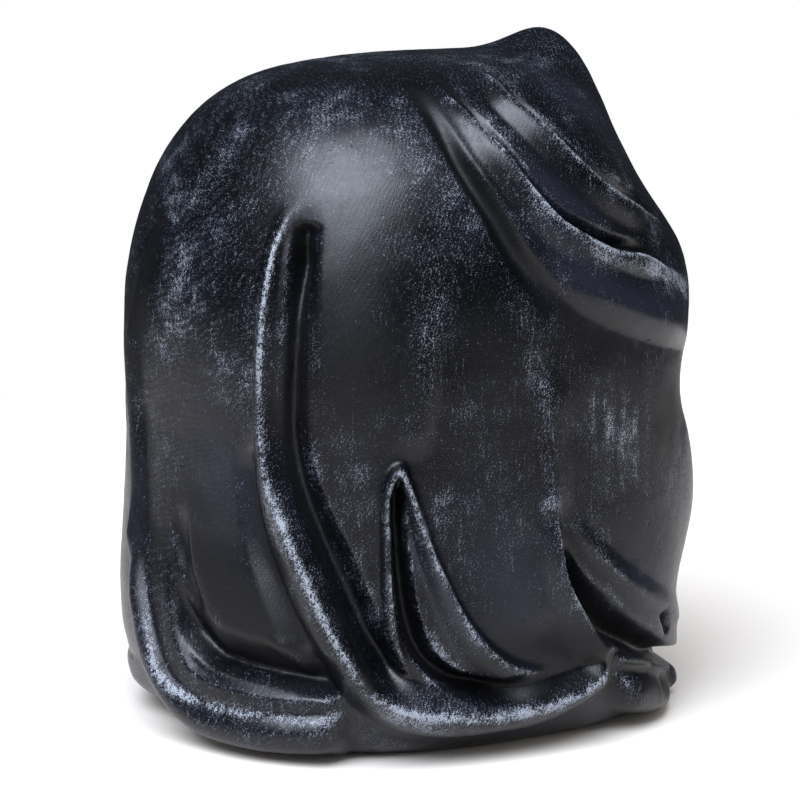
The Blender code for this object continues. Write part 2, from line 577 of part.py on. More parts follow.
def face_relief(x, z):
    """How far the skull's face stands out at places in front, all in drawn millimetres."""
    side = np.abs(x)
    relief = -SOCKET_DEPTH / SKULL_MM * socket_relief(side, z)
    for lift, half_width, path in FACE_RIDGES:
        relief += lift * ridge(side, z, path, half_width)
    for lift, middle, radii, edge in FACE_BUMPS:
        relief += lift * bump(side, z, middle, radii, edge)
    nose = np.maximum(*(bump(side, z, middle, radii, NOSE_EDGE) for middle, radii in NOSE_LOBES))
    relief -= NOSE_DEPTH * nose * (1 - NOSE_BAR_SHARE * bump(side, z, *NOSE_BAR))
    upper_width = TOOTH_WIDTH / SKULL_MM
    lower_width = upper_width * LOWER_TOOTH_SHARE
    relief += TOOTH_LIFT * tooth_row(side, z, UPPER_TEETH, upper_width)
    relief += TOOTH_LIFT * tooth_row(side, z, LOWER_TEETH, lower_width)
    roots = np.sqrt(tooth_row(side, z, UPPER_ROOTS, upper_width))
    roots = np.maximum(roots, tooth_row(side, z, LOWER_ROOTS, lower_width))
    return relief + ROOT_LIFT * roots


def skull_object(name):
    """The skull as rings from below the chin up to the crown, its face relief pushed forward."""
    rows = skull_rows()
    heights = np.linspace(0, SKULL_HEIGHT * 0.998, SKULL_CLIMB_STEPS)
    turns = np.linspace(0, 2 * math.pi, SKULL_ROUND_STEPS, endpoint=False)
    turns = turns + FRONT_SPREAD * np.sin(2 * turns) * np.cos(turns / 2) ** 2
    half, set_back, length = (slope_curve(rows[:, 0], rows[:, i], heights) for i in (1, 2, 3))
    front = -TEETH_PLACE * DEPTH / 2 + SKULL_SET_BACK
    rings = []
    for height, w, back, far in zip(heights, half, set_back, length):
        across = np.sign(np.sin(turns)) * np.abs(np.sin(turns)) ** (2 / SKULL_SQUARENESS)
        ahead = np.sign(np.cos(turns)) * np.abs(np.cos(turns)) ** (2 / SKULL_SQUARENESS)
        middle = front + back + far / 2
        x = w * across
        y = middle - far / 2 * ahead
        relief = face_relief(x / SKULL_MM, np.full_like(x, height / SKULL_MM)) * SKULL_MM
        y -= relief * np.clip(ahead * FACE_FADE, 0, 1)
        z = np.full_like(x, MOUTH_SILL + CHIN_GAP + height)
        rings.append(np.stack([x, y, z], axis=-1))
    return object_from(name, lambda bm: add_rings(bm, rings))


def apply_modifier(obj, kind, **settings):
    """A modifier of a kind, set and applied."""
    modifier = obj.modifiers.new(kind.title(), kind)
    for key, value in settings.items():
        setattr(modifier, key, value)
    graph = bpy.context.evaluated_depsgraph_get()
    graph.update()
    mesh = bpy.data.meshes.new_from_object(obj.evaluated_get(graph))
    obj.modifiers.clear()
    old = obj.data
    obj.data = mesh
    bpy.data.meshes.remove(old)


def remove(obj):
    """Takes a helper object out of the scene."""
    mesh = obj.data
    bpy.data.objects.remove(obj)
    bpy.data.meshes.remove(mesh)


def join_into(obj, other):
    """Adds another object's mesh to this one's, as separate shells."""
    bm = bmesh.new()
    bm.from_mesh(obj.data)
    bm.from_mesh(other.data)
    bm.to_mesh(obj.data)
    bm.free()
    remove(other)


def trim_flat(obj):
    """Cuts the piece off flat at the floor and stands it over the middle of its own box."""
    bm = bmesh.new()
    bm.from_mesh(obj.data)
    everything = bm.verts[:] + bm.edges[:] + bm.faces[:]
    bmesh.ops.bisect_plane(bm, geom=everything, dist=1e-6, plane_co=(0, 0, 0), plane_no=(0, 0, 1),
                           clear_inner=True)
    rim = [edge for edge in bm.edges if edge.is_boundary]
    bmesh.ops.holes_fill(bm, edges=rim)
    bmesh.ops.triangulate(bm, faces=[face for face in bm.faces if len(face.verts) > 3])
    places = np.array([vert.co[:] for vert in bm.verts])
    middle = (places.min(0) + places.max(0)) / 2
    for vert in bm.verts:
        vert.co.x -= middle[0]
        vert.co.y -= middle[1]
    bmesh.ops.recalc_face_normals(bm, faces=bm.faces)
    bm.to_mesh(obj.data)
    bm.free()


def cast_material():
    """Black paint over the resin, with a satin surface."""
    material = bpy.data.materials.new("black_paint")
    material.use_nodes = True
    shader = material.node_tree.nodes["Principled BSDF"]
    shader.inputs["Base Color"].default_value = (0.012, 0.013, 0.018, 1.0)
    shader.inputs["Roughness"].default_value = 0.42
    shader.inputs["Metallic"].default_value = 0.0
    return material


def build_hooded_skull():
    """The whole casting: hood, minus its mouth, plus the skull, smoothed together."""
    piece = hood_object("hooded_skull")
    mouth = mouth_object("mouth")
    apply_modifier(piece, "BOOLEAN", operation="DIFFERENCE", object=mouth, solver="EXACT")
    remove(mouth)
    skull = skull_object("skull")
    join_into(piece, skull)
    apply_modifier(piece, "REMESH", mode="VOXEL", voxel_size=VOXEL)
    apply_modifier(piece, "SMOOTH", factor=0.3, iterations=1)
    faces = sum(len(face.vertices) - 2 for face in piece.data.polygons)
    apply_modifier(piece, "DECIMATE", ratio=TRIANGLES / faces, use_collapse_triangulate=True)
    trim_flat(piece)
    piece.data.materials.clear()
    piece.data.materials.append(cast_material())
    for polygon in piece.data.polygons:
        polygon.use_smooth = True
    return piece


def main():
    for obj in list(bpy.data.objects):
        bpy.data.objects.remove(obj)
    build_hooded_skull()


main()
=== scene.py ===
import json
import math

import bpy
import numpy as np
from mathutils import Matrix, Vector
from mathutils.kdtree import KDTree

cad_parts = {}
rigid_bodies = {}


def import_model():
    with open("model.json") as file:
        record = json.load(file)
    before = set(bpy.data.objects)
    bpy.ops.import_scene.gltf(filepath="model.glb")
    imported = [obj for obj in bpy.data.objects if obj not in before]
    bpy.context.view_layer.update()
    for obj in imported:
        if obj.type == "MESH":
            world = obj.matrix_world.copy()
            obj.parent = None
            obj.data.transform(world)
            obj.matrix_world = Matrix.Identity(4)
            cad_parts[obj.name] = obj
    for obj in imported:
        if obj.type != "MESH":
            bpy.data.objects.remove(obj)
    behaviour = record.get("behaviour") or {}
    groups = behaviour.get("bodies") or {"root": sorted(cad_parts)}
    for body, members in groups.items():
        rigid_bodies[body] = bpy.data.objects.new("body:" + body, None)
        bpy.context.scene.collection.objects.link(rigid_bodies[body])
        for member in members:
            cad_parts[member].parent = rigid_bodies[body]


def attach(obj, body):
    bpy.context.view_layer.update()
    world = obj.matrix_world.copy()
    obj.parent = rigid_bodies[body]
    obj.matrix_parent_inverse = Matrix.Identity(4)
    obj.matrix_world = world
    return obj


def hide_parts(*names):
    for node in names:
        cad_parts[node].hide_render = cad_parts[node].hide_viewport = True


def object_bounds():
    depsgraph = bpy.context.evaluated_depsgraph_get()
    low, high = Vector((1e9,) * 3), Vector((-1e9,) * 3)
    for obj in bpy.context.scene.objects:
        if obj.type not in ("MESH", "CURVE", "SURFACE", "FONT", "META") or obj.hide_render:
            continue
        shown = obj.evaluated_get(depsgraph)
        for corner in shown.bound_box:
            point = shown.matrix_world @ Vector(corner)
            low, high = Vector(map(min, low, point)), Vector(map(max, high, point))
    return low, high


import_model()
bpy.context.view_layer.update()
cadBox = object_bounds()
print("frame loaded, box", [round(v, 4) for corner in cadBox for v in corner])

# The hood, in metres and shares.
hood = {
    "height": 0.155,
    "width": 0.117,
    "depth": 0.130,
    "backSquareness": 2.3,
    "frontStart": 0.3,          # how far behind the middle the front's own squareness begins
    "handBlend": 0.0004,        # over how much of its line a fold changes from left to right width
    "peakForward": 0.0385,
    "peakReachAcross": 0.013,
    "peakReachAlong": 0.0096,
    "peakFoot": 0.112,
    "peakGrowth": 0.030,
    "skirt": 0.003,             # modelled below the floor and cut off flat
    "roundSteps": 720,
    "climbSteps": 520,
}

# The mouth of the hood, in metres and shares.
mouth = {
    "width": 0.074,
    "height": 0.126,
    "sill": 0.011,
    "depth": 0.052,
    "rimPlace": 0.80,           # where its rim sits, as a share of half the hood's depth
    "sides": 64,
    "upperTaper": 0.30,
    "upperTaperPower": 2.2,
    "lowerSquareness": 0.72,
}

# The skull inside it, with its face drawn in millimetres on a skull 112 mm high.
skull = {
    "width": 0.062,
    "height": 0.112,
    "setBack": 0.006,
    "frontPlace": 0.96,
    "chinGap": 0.002,
    "squareness": 2.2,
    "frontSpread": 0.30,
    "faceFade": 2.5,
    "roundSteps": 420,
    "climbSteps": 230,
    "socketWidth": 0.0205,
    "socketDepth": 0.015,
    "socketMiddle": (14.6, 73),
    "socketHalfHeight": 9.4,
    "socketTilt": 12,
    "socketSquareness": 2.5,
    "socketEdge": 0.30,
    "socketSpread": 1.04,
    "noseDepth": 10.0,
    "noseLobes": (((3.4, 53.5), (4.0, 6.6)), ((0, 59.5), (3.4, 8.6))),
    "noseEdge": 0.35,
    "noseBar": ((0, 50), (1.1, 8), 0.6),
    "noseBarShare": 0.55,
    "toothWidth": 0.0050,
    "teethPerSide": 6,
    "toothTaper": 0.07,
    "toothDrop": 0.05,
    "longTooth": 2,
    "longToothExtra": 0.6,
    "toothLift": 1.9,
    "rootLift": 0.5,
    "lowerToothShare": 0.92,
    "upperTeeth": (36.0, 43.6),
    "lowerTeeth": (26.6, 34.4),
    "upperRoots": (41.5, 50.0),
    "lowerRoots": (20.0, 29.0),
}

mm = hood["height"] / 155
skullMm = skull["height"] / 112

hoodRows = (
    (0.000, 0.870, 0.860, 0.780, 2.6),
    (0.026, 0.935, 0.915, 0.835, 2.6),
    (0.064, 0.992, 0.970, 0.885, 2.6),
    (0.116, 1.030, 1.000, 0.905, 2.6),
    (0.193, 1.045, 1.010, 0.910, 2.6),
    (0.322, 1.025, 0.996, 0.925, 2.6),
    (0.451, 1.015, 0.986, 0.940, 2.6),
    (0.580, 1.020, 0.986, 0.950, 2.5),
    (0.676, 1.003, 0.970, 0.942, 2.1),
    (0.758, 0.952, 0.922, 0.892, 1.75),
    (0.834, 0.876, 0.840, 0.830, 1.6),
    (0.896, 0.767, 0.718, 0.770, 1.55),
    (0.9395, 0.620, 0.555, 0.690, 1.6),
    (0.963, 0.405, 0.360, 0.525, 1.8),
    (0.9715, 0.178, 0.158, 0.250, 2.0),
    (0.9735, 0.000, 0.000, 0.000, 2.0),
)

# One stroke of the carving along (bearing, height) points, in drawn millimetres.
#
# A positive lift is a ridge and a negative one a groove. Left and right are its widths on either
# hand of somebody who walks along the path. Lift and widths are one number each, or several that
# follow one another evenly from start to finish. The ends say over which share of the path the
# stroke rises and falls.
def fold(path, lift, left, right, kind="soft", ends=(0.12, 0.12)):
    lift, left, right = (
        value if isinstance(value, tuple) else (value, value) for value in (lift, left, right)
    )
    return {"path": path, "lift": lift, "left": left, "right": right, "kind": kind, "ends": ends}


# A stroke's value at each share of its path.
def alongPath(values, share):
    return np.interp(share, np.linspace(0, 1, len(values)), values)


# The side that carries the deep folds.
rightFolds = (
    # Three folds that run from the crown down to the front rim, each with a crease above its edge.
    fold([(106, 149.5), (94.5, 147.5), (92, 143.5), (95, 139.4), (98.8, 135), (102.5, 130.7),
          (108.2, 125.6), (115.8, 121), (126.8, 117), (141, 112)], 3.0, (2.0, 3.0), (4.5, 7.5),
         "soft", (0.3, 0.35)),
    fold([(108, 148.5), (97.5, 145), (97.5, 141.5), (100, 137.8), (103.4, 133.4), (109, 128.5),
          (116.4, 124), (126, 120), (140, 115.5)], -2.8, (2.6, 5.0), (1.7, 2.2), "soft",
         (0.4, 0.25)),
    fold([(64.5, 149.5), (69, 146), (75.2, 141), (78.4, 136), (82.6, 131), (86.2, 125.9),
          (90.6, 120.3), (98, 115), (106, 111), (116.5, 108.3), (129.8, 102.5), (145, 96.5)],
         3.4, (1.9, 2.8), (4.6, 10), "soft", (0.3, 0.35)),
    fold([(69, 148.8), (74, 143.9), (78.4, 139), (81.6, 135), (84.8, 130), (88.8, 124.8),
          (93.6, 120.3), (100.4, 116.6), (108.2, 113), (118.4, 110.2), (128.5, 105.8)],
         -3.2, (2.4, 3.2), (1.6, 2.0), "soft", (0.3, 0.3)),
    fold([(57, 149), (59.5, 145.5), (63.5, 141), (68, 134), (72.4, 127.4), (76.4, 121),
          (80.4, 113.8), (85.4, 106.5), (92, 98)], -3.6, (2.2, 4.2), (3, 6), "soft", (0.4, 0.35)),
    # The swag that hangs below them.
    fold([(83, 115), (88.6, 111), (96, 105), (107.4, 99.2), (121, 94.3), (143, 88.8)], 3.2,
         (6, 9), (4.4, 6.5), "roll", (0.4, 0.35)),
    # The long fold that starts as the lip of a pocket and turns into the base roll.
    fold([(34, 124.6), (31.6, 125), (29.4, 123.4), (27.8, 119), (27, 112), (26.6, 104), (26.2, 94),
          (25.9, 82), (26.6, 70), (29, 60), (32, 53)], 2.4, (1.6, 5), (3.0, 3.4), "soft",
         (0.3, 0.25)),
    fold([(26, 84), (26.4, 73), (28.2, 63.5), (32, 53), (35.6, 44), (39.2, 34.8), (43.2, 26),
          (48, 19.3), (54, 14.4), (63, 12), (75, 11.4), (87.8, 12.7), (97, 15.2), (103.6, 18.4)],
         (5.2, 5.4, 5.6, 5.6, 5.6, 5.2, 4.0), (3.2, 4.2, 5.2, 6, 6.4, 5.6, 2.6),
         (6, 6.6, 7.4, 8.2, 8.6, 7.6, 4.5), "soft", (0.3, 0.04)),
    fold([(32.4, 121.6), (32.2, 115), (32, 107), (31.8, 98)], -5.0, (5, 6.5, 7.5), 2.6, "crease",
         (0.08, 0.85)),
    fold([(32.2, 119), (32.2, 108), (32, 96), (31.4, 84), (31.4, 74), (33, 65), (36, 56)], -4.0,
         (4.4, 7.5, 9, 8), (2.6, 3.4), "crease", (0.1, 0.45)),
    fold([(31.2, 84), (31.4, 73), (33.2, 64), (36.4, 54.6), (40, 45.6), (43.4, 37), (46.6, 28),
          (51, 20), (58, 15.4)], -4.8, (5, 6, 6), (2.2, 2.8), "soft", (0.45, 0.15)),
    fold([(21.8, 72), (22.6, 61), (25, 50.6), (29, 41), (34, 31), (40.5, 20)], -2.2, (3, 2.6),
         (5, 6)),
    fold([(31.8, 82), (33, 71), (35.6, 60), (39, 50), (42.6, 40), (46.2, 30), (50.4, 19)], 0.5, 1.8,
         1.6),
    # The slot with a pointed top, and the fold that goes up its near side and down the far one.
    fold([(52.2, 62.0), (52.3, 56.2), (52.7, 49.3), (53.4, 41.6), (54.4, 34.8), (56, 28.6),
          (59.4, 22.6), (64.6, 18.2), (72, 16), (84, 16.4)], -6.6, (1.6, 4.0), (1.4, 2.4), "round",
         (0.0, 0.25)),
    fold([(60, 14.4), (55.6, 18.8), (53.2, 25), (51.6, 33), (50.8, 42), (50.4, 52), (50.3, 60),
          (51, 65), (52.6, 67.6), (54.2, 64), (55.8, 59), (57.4, 53.6), (59.2, 48), (61.4, 42.4),
          (64.2, 36), (68, 29.6), (73.4, 23.8), (81, 19.4), (89, 17.6)],
         (1.9, 2.1, 2.6, 3.8, 4.2, 4.2, 3.8), (4.8, 2.8, 2.1, 1.7, 1.6, 1.8, 2.6),
         (1.6, 1.5, 1.5, 1.8, 4.2, 7.0, 8.5), "soft", (0.15, 0.15)),
    # The third fold, which opens into a deep hollow above the front lobe.
    fold([(88.4, 62), (88.6, 52), (89.4, 43.6), (91.2, 38), (94.8, 31.4), (99.4, 23.6),
          (105.4, 19.6)], 2.8, (1.8, 2.0), (5, 7), "soft", (0.4, 0.1)),
    fold([(90.4, 48.4), (91.8, 41), (94.8, 35), (99.6, 29), (106, 23.6), (113, 19.6), (120, 16.2),
          (128, 13), (138, 10.4), (150, 8.4), (160, 8)], (-6, -7.2, -7.4, -8.0, -8.4),
         (2, 7.4, 6.0, 3.6, 3.2), (1.6, 2.4, 2.2, 2.0, 2.0), "soft", (0.1, 0.08)),
    fold([(92.4, 55), (97.6, 46.6), (104.6, 39), (112, 33), (121, 27.6), (132, 22.6), (146, 19)],
         (2.0, 2.0, 1.2, 0.1), (3, 7), (1.8, 2.6), "soft", (0.35, 0.15)),
    fold([(121.8, 27), (124.3, 23.4), (126.4, 19.6)], -3.2, 1.6, 1.8, "soft", (0.35, 0.2)),
    fold([(80, 29), (90, 26), (97.5, 22.4)], -0.5, 6, 5, "soft", (0.45, 0.25)),
    # The front lobe of the hem, with its dished face.
    fold([(103, 12.5), (111, 9.6), (121, 6.8), (132, 5.2), (145, 4.6)], (3.0, 4.0, 3.8, 3.4),
         (4.6, 5.2, 4.4, 3.8), (5, 5), "roll", (0.25, 0.05)),
    fold([(121, 9.8), (128, 8), (136, 6.6), (144, 6)], -3.0, 3.4, 3.2, "soft", (0.3, 0.1)),
    fold([(103.4, 19.4), (109, 17.8), (114, 16.6), (120, 15)], 1.3, 1.3, 1.5, "soft", (0.3, 0.2)),
    # Low upright swells of the plain cloth.
    fold([(58.8, 104.7), (58, 91.5), (57.2, 80.8), (54, 69)], 1.2, 5.0, 6.0, "soft", (0.3, 0.2)),
    fold([(87, 88), (87.8, 70), (88.4, 52)], 1.0, 7.0, 5.0, "soft", (0.3, 0.2)),
)

# The back: a long panel between two ridges, above a hem roll with a ledge.
backFolds = (
    fold([(-12, 114), (-13, 103), (-14.4, 90), (-14.6, 78), (-13.4, 64), (-12, 50), (-10.6, 38)],
         2.4, (4, 6), (3, 4), "soft", (0.4, 0.1)),
    fold([(-12.4, 56), (-11, 44), (-8.2, 34.5), (-4.8, 26.6), (-0.8, 18.6), (4.2, 12.8), (10, 10),
          (20, 9.2), (31, 9.4), (43, 10.6)], 3.0, (3.2, 3.6), (4.2, 7.4), "roll", (0.3, 0.08)),
    fold([(-11, 48), (-9, 36), (-6, 26), (-2, 17), (3.4, 10.6), (10, 7.8), (20, 6.8), (31, 6.8),
          (43, 8)], 3.2, (13.5, 13, 12.2, 11.8, 10.8), (4, 7), "shelf", (0.5, 0.05)),
    fold([(3, 42), (4.2, 33), (6.8, 25.4), (12, 21), (19, 19.6), (27, 18.8), (35, 18), (43, 17.4)],
         -6.0, (11, 10), (1.4, 1.6), "soft", (0.4, 0.1)),
    fold([(2.4, 56), (3.4, 47), (6.2, 38), (10, 30)], -1.6, 3.6, 3.0, "soft", (0.4, 0.25)),
    fold([(26, 29), (31, 25), (37, 19.6)], 1.1, 3.4, 3.4, "soft", (0.35, 0.3)),
)

# The side away from the deep folds, carved in the same way and plainer.
leftFolds = (
    fold([(-84, 146), (-88, 138), (-97, 128), (-110, 119), (-126, 111), (-150, 104)], 2.8, 6.0,
         4.0),
    fold([(-74, 147), (-79, 138), (-88, 128), (-100, 119), (-116, 110), (-140, 103)], -2.8, 3.4,
         3.4, "crease"),
    fold([(-66, 143), (-74, 131), (-84, 121), (-97, 111), (-113, 103), (-148, 95)], 3.2, 6.5, 4.0),
    fold([(-76, 118), (-86, 108), (-100, 98), (-118, 92), (-138, 88)], 3.0, 8.0, 6.0, "round",
         (0.35, 0.1)),
    fold([(-46, 112), (-45, 98), (-44, 82), (-45, 64), (-49, 48), (-56, 33), (-68, 21), (-82, 15),
          (-96, 14), (-110, 16)], 4.0, 4.0, 6.0, "round", (0.35, 0.1)),
    fold([(-50, 110), (-49, 94), (-49, 78), (-51, 62), (-56, 46), (-64, 33), (-76, 24)], -3.6, 4.5,
         2.8, "soft", (0.05, 0.2)),
    fold([(-86, 70), (-87, 56), (-91, 43), (-99, 31), (-110, 23)], -4.4, 3.6, 2.8, "soft",
         (0.05, 0.2)),
    fold([(-83, 72), (-83.5, 56), (-87, 42), (-95, 29), (-107, 20)], 2.8, 2.6, 5.0),
    fold([(-104, 30), (-112, 23), (-124, 18), (-138, 17)], -3.6, 3.4, 3.4, "soft", (0.3, 0.1)),
    fold([(-112, 13), (-124, 9), (-138, 8)], 2.2, 4.0, 4.0, "soft", (0.3, 0.1)),
)

# The hem where it runs on under the left side and across the front.
hemFolds = (
    fold([(-10, 9), (-30, 8), (-52, 8), (-74, 8.5), (-96, 9), (-120, 8.5), (-142, 8)], 2.0, 4.5,
         5.5, "round", (0.1, 0.1)),
    fold([(138, 6.5), (150, 5.5), (165, 5), (180, 5), (195, 5), (210, 5.5), (222, 6.5)], 2.6, 4.5,
         4.5, "round", (0.1, 0.1)),
)

# Broad swells and hollows: bearing, height, lift, then the reach in degrees and in height.
swells = (
    (147, 106, 2.4, 14, 15),
    (149, 77, -3.2, 14, 10),
    (147, 50, 2.4, 14, 13),
    (146, 27, -2.0, 13, 9),
    (130, 5, 1.0, 15, 7),
    (124, 0, 1.2, 18, 5),
    (104, 9, 1.6, 18, 8),
    (20, 5, 1.4, 26, 6),
    (12, 62, -1.6, 15, 34),
    (44, 84, 1.2, 14, 36),
    (-148, 90, 2.4, 16, 15),
    (-148, 70, -2.2, 14, 10),
    (-146, 46, 1.8, 14, 13),
    (-130, 9, 3.6, 17, 10),
)

# The mouth of the hood, front to back: place as a share of its depth, then the share of its size.
mouthStations = (
    (-0.70, 1.12),
    (-0.20, 1.05),
    (0.00, 0.98),
    (0.25, 1.00),
    (0.60, 0.96),
    (0.85, 0.78),
    (1.00, 0.40),
)
# The plain skull, chin to crown: height as a share of its own height, then in shares of its half
# width how wide it is, how far its front is set back and how far it runs back from there.
skullRows = (
    (0.000, 0.30, 0.22, 2.00),
    (0.030, 0.56, 0.05, 2.20),
    (0.090, 0.66, 0.00, 2.30),
    (0.160, 0.72, 0.09, 2.40),
    (0.240, 0.74, 0.07, 2.50),
    (0.310, 0.72, 0.04, 2.60),
    (0.380, 0.72, 0.06, 2.60),
    (0.450, 0.78, 0.15, 2.60),
    (0.520, 0.93, 0.26, 2.60),
    (0.590, 1.00, 0.31, 2.60),
    (0.660, 0.98, 0.28, 2.70),
    (0.740, 0.92, 0.22, 2.80),
    (0.820, 0.92, 0.26, 2.80),
    (0.900, 0.90, 0.42, 2.60),
    (0.960, 0.76, 0.68, 2.10),
    (1.000, 0.45, 1.00, 1.40),
)
# What the face carries on each side of its middle line: a lift and a half width on a path, or a
# lift, a middle, two radii and the share of the radius over which it fades.
faceRidges = (
    (3.2, 5.0, ((2, 81), (9, 85.5), (18, 87), (26, 83), (30, 75))),    # brow
    (4.6, 5.5, ((0, 83), (0, 76), (0, 69), (0, 64.5))),                # bridge of the nose
    (4.6, 5.6, ((10, 62), (17, 59), (25, 60.5), (31, 67))),            # cheekbone
    (-2.0, 4.0, ((4, 17.5), (12, 18), (20, 20))),                      # over the chin
)
faceBumps = (
    (2.0, (0, 85), (7, 7), 1.0),           # between the brows
    (1.6, (0, 46), (17, 9), 0.7),          # upper jaw
    (1.8, (6.5, 6), (8, 7), 0.9),          # chin
    (-7.5, (22.5, 46), (7.5, 12), 0.9),    # cheek
    (-4.5, (29, 93), (9, 12), 0.9),        # temple
    (-1.8, (0, 35.2), (21, 1.5), 0.8),     # between the rows of teeth
)


# A smooth curve through values at places, read at the given places.
def slopeCurve(places, values, at):
    slopes = np.gradient(values, places)
    cell = np.clip(np.searchsorted(places, at, side="right") - 1, 0, len(places) - 2)
    span = places[cell + 1] - places[cell]
    s = (at - places[cell]) / span
    return (
        (2 * s**3 - 3 * s**2 + 1) * values[cell]
        + (s**3 - 2 * s**2 + s) * span * slopes[cell]
        + (3 * s**2 - 2 * s**3) * values[cell + 1]
        + (s**3 - s**2) * span * slopes[cell + 1]
    )


# The hood's rows in metres, and the climb from 0 at the floor to 1 at the crown of each.
def hoodRowsInMetres():
    rows = np.array(hoodRows)
    rows[:, 0] *= hood["height"]
    rows[:, 1] *= hood["depth"] / 2
    rows[:, 2] *= hood["width"] / 2
    rows[:, 3] *= hood["depth"] / 2
    reach = (rows[:, 1] + rows[:, 2]) / 2
    climb = np.concatenate([[0.0], np.cumsum(np.hypot(np.diff(reach), np.diff(rows[:, 0])))])
    return rows, climb / climb[-1]


# Points of the plain hood at bearings in degrees and climbs from 0 to 1.
def hoodPoints(bearings, climbs):
    rows, places = hoodRowsInMetres()
    height, back, side, front, square = (slopeCurve(places, rows[:, i], climbs) for i in range(5))
    turn = np.radians(bearings)
    ahead = np.cos(turn)
    frontness = np.clip((hood["frontStart"] - ahead) / (1 + hood["frontStart"]), 0, 1)
    frontness = frontness**2 * (3 - 2 * frontness)
    power = hood["backSquareness"] + (square - hood["backSquareness"]) * frontness
    depth = np.maximum(np.where(ahead > 0, back, front), 1e-7)
    halfWidth = np.maximum(side, 1e-7)
    out = (np.abs(ahead) / depth) ** power + (np.abs(np.sin(turn)) / halfWidth) ** power
    radius = out ** (-1 / power)
    return np.stack([-radius * np.sin(turn), radius * ahead, height], axis=-1)


# Outward directions of the plain hood.
def hoodNormals(bearings, climbs):
    turnStep = 0.5
    climbStep = 0.002
    low = np.clip(climbs - climbStep, 0, 1)
    high = np.clip(climbs + climbStep, 0, 0.9995)
    low = np.minimum(low, high - climbStep)
    roundWay = hoodPoints(bearings + turnStep, climbs) - hoodPoints(bearings - turnStep, climbs)
    upWay = hoodPoints(bearings, high) - hoodPoints(bearings, low)
    normals = np.cross(roundWay, upWay)
    return normals / np.linalg.norm(normals, axis=-1, keepdims=True)


# The climb at which the plain hood reaches a height in metres.
def climbAt(height):
    climbs = np.linspace(0, 1, 800)
    heights = hoodPoints(np.zeros_like(climbs), climbs)[:, 2]
    return np.interp(height, heights, climbs)


# Points along a stroke on the plain hood, the surface's outward way and the way along.
def foldLine(stroke):
    path = np.array(stroke["path"], dtype=float)
    steps = np.hypot(np.diff(path[:, 0]), np.diff(path[:, 1]))
    places = np.concatenate([[0.0], np.cumsum(steps)])
    count = int(8 * len(path))
    at = np.linspace(0, places[-1], count)
    bearings = slopeCurve(places, path[:, 0], at)
    climbs = climbAt(slopeCurve(places, path[:, 1], at) * mm)
    points = hoodPoints(bearings, climbs)
    along = np.gradient(points, axis=0)
    along /= np.linalg.norm(along, axis=1, keepdims=True)
    return points, hoodNormals(bearings, climbs), along


# The section of a stroke at q, which is 0 on its line and 1 at its edge.
def foldShape(kind, q):
    q = np.clip(q, 0, 1)
    if kind == "round":
        return np.sqrt(1 - q**2) * (1 - 0.25 * q)
    if kind == "crease":
        return (1 - q) ** 2 * (1 + 0.6 * q)
    if kind == "roll":
        return (1 - q**2) ** 1.25
    if kind == "shelf":
        edge = np.clip((1 - q) / 0.16, 0, 1)
        return (1 - 0.45 * q) * edge**2 * (3 - 2 * edge)
    return (1 - q**2) ** 2


# How far each point is lifted by a stroke, in metres.
def foldLift(points, stroke):
    lifts = np.zeros(len(points))
    line, outward, along = foldLine(stroke)
    reach = max(stroke["left"] + stroke["right"]) * mm
    near = np.all((points > line.min(0) - reach) & (points < line.max(0) + reach), axis=1)
    chosen = np.nonzero(near)[0]
    if len(chosen) == 0:
        return lifts
    here = points[chosen]
    gaps = (here**2).sum(1)[:, None] - 2 * here @ line.T + (line**2).sum(1)
    nearest = gaps.argmin(1)
    away = here - line[nearest]
    step = (away * along[nearest]).sum(1)
    inside = (nearest > 0) & (nearest < len(line) - 1)
    spacing = np.linalg.norm(line[1] - line[0])
    step = np.where(inside, step, 0)
    distance = np.sqrt(np.maximum((away**2).sum(1) - step**2, 0))
    leftward = (away * np.cross(outward[nearest], along[nearest])).sum(1)
    hand = 0.5 + 0.5 * np.clip(leftward / hood["handBlend"], -1, 1)
    share = np.clip((nearest + np.clip(step / spacing, -0.5, 0.5)) / (len(line) - 1), 0, 1)
    left = alongPath(stroke["left"], share)
    right = alongPath(stroke["right"], share)
    width = (right + (left - right) * hand) * mm
    rise, fall = stroke["ends"]
    start = np.clip(share / rise, 0, 1) if rise else np.ones_like(share)
    finish = np.clip((1 - share) / fall, 0, 1) if fall else np.ones_like(share)
    strength = (3 * start**2 - 2 * start**3) * (3 * finish**2 - 2 * finish**3)
    height = alongPath(stroke["lift"], share) * mm
    lifts[chosen] = height * strength * foldShape(stroke["kind"], distance / width)
    return lifts


# The plain skull's rows: height, half width, set-back of the front and how far back it runs.
def skullRowsInMetres():
    rows = np.array(skullRows)
    rows[:, 0] *= skull["height"]
    rows[:, 1] *= skull["width"] / 2
    rows[:, 2] *= skull["width"] / 2
    rows[:, 3] *= skull["width"] / 2
    return rows


# 1 inside an oval and 0 outside, with an edge that is a share of its radius.
def bump(x, z, middle, radii, edge):
    q = np.hypot((x - middle[0]) / radii[0], (z - middle[1]) / radii[1])
    s = np.clip((1 - q) / edge, 0, 1)
    return s * s * (3 - 2 * s)


# 1 on a line through the path's points and 0 at halfWidth from it.
def ridge(x, z, path, halfWidth):
    path = np.array(path, dtype=float)
    places = np.linspace(0, 1, len(path))
    at = np.linspace(0, 1, 40)
    line = np.stack([slopeCurve(places, path[:, i], at) for i in (0, 1)], axis=-1)
    gap = np.hypot(x[:, None] - line[:, 0], z[:, None] - line[:, 1]).min(1)
    return (1 - np.clip(gap / halfWidth, 0, 1) ** 2) ** 2


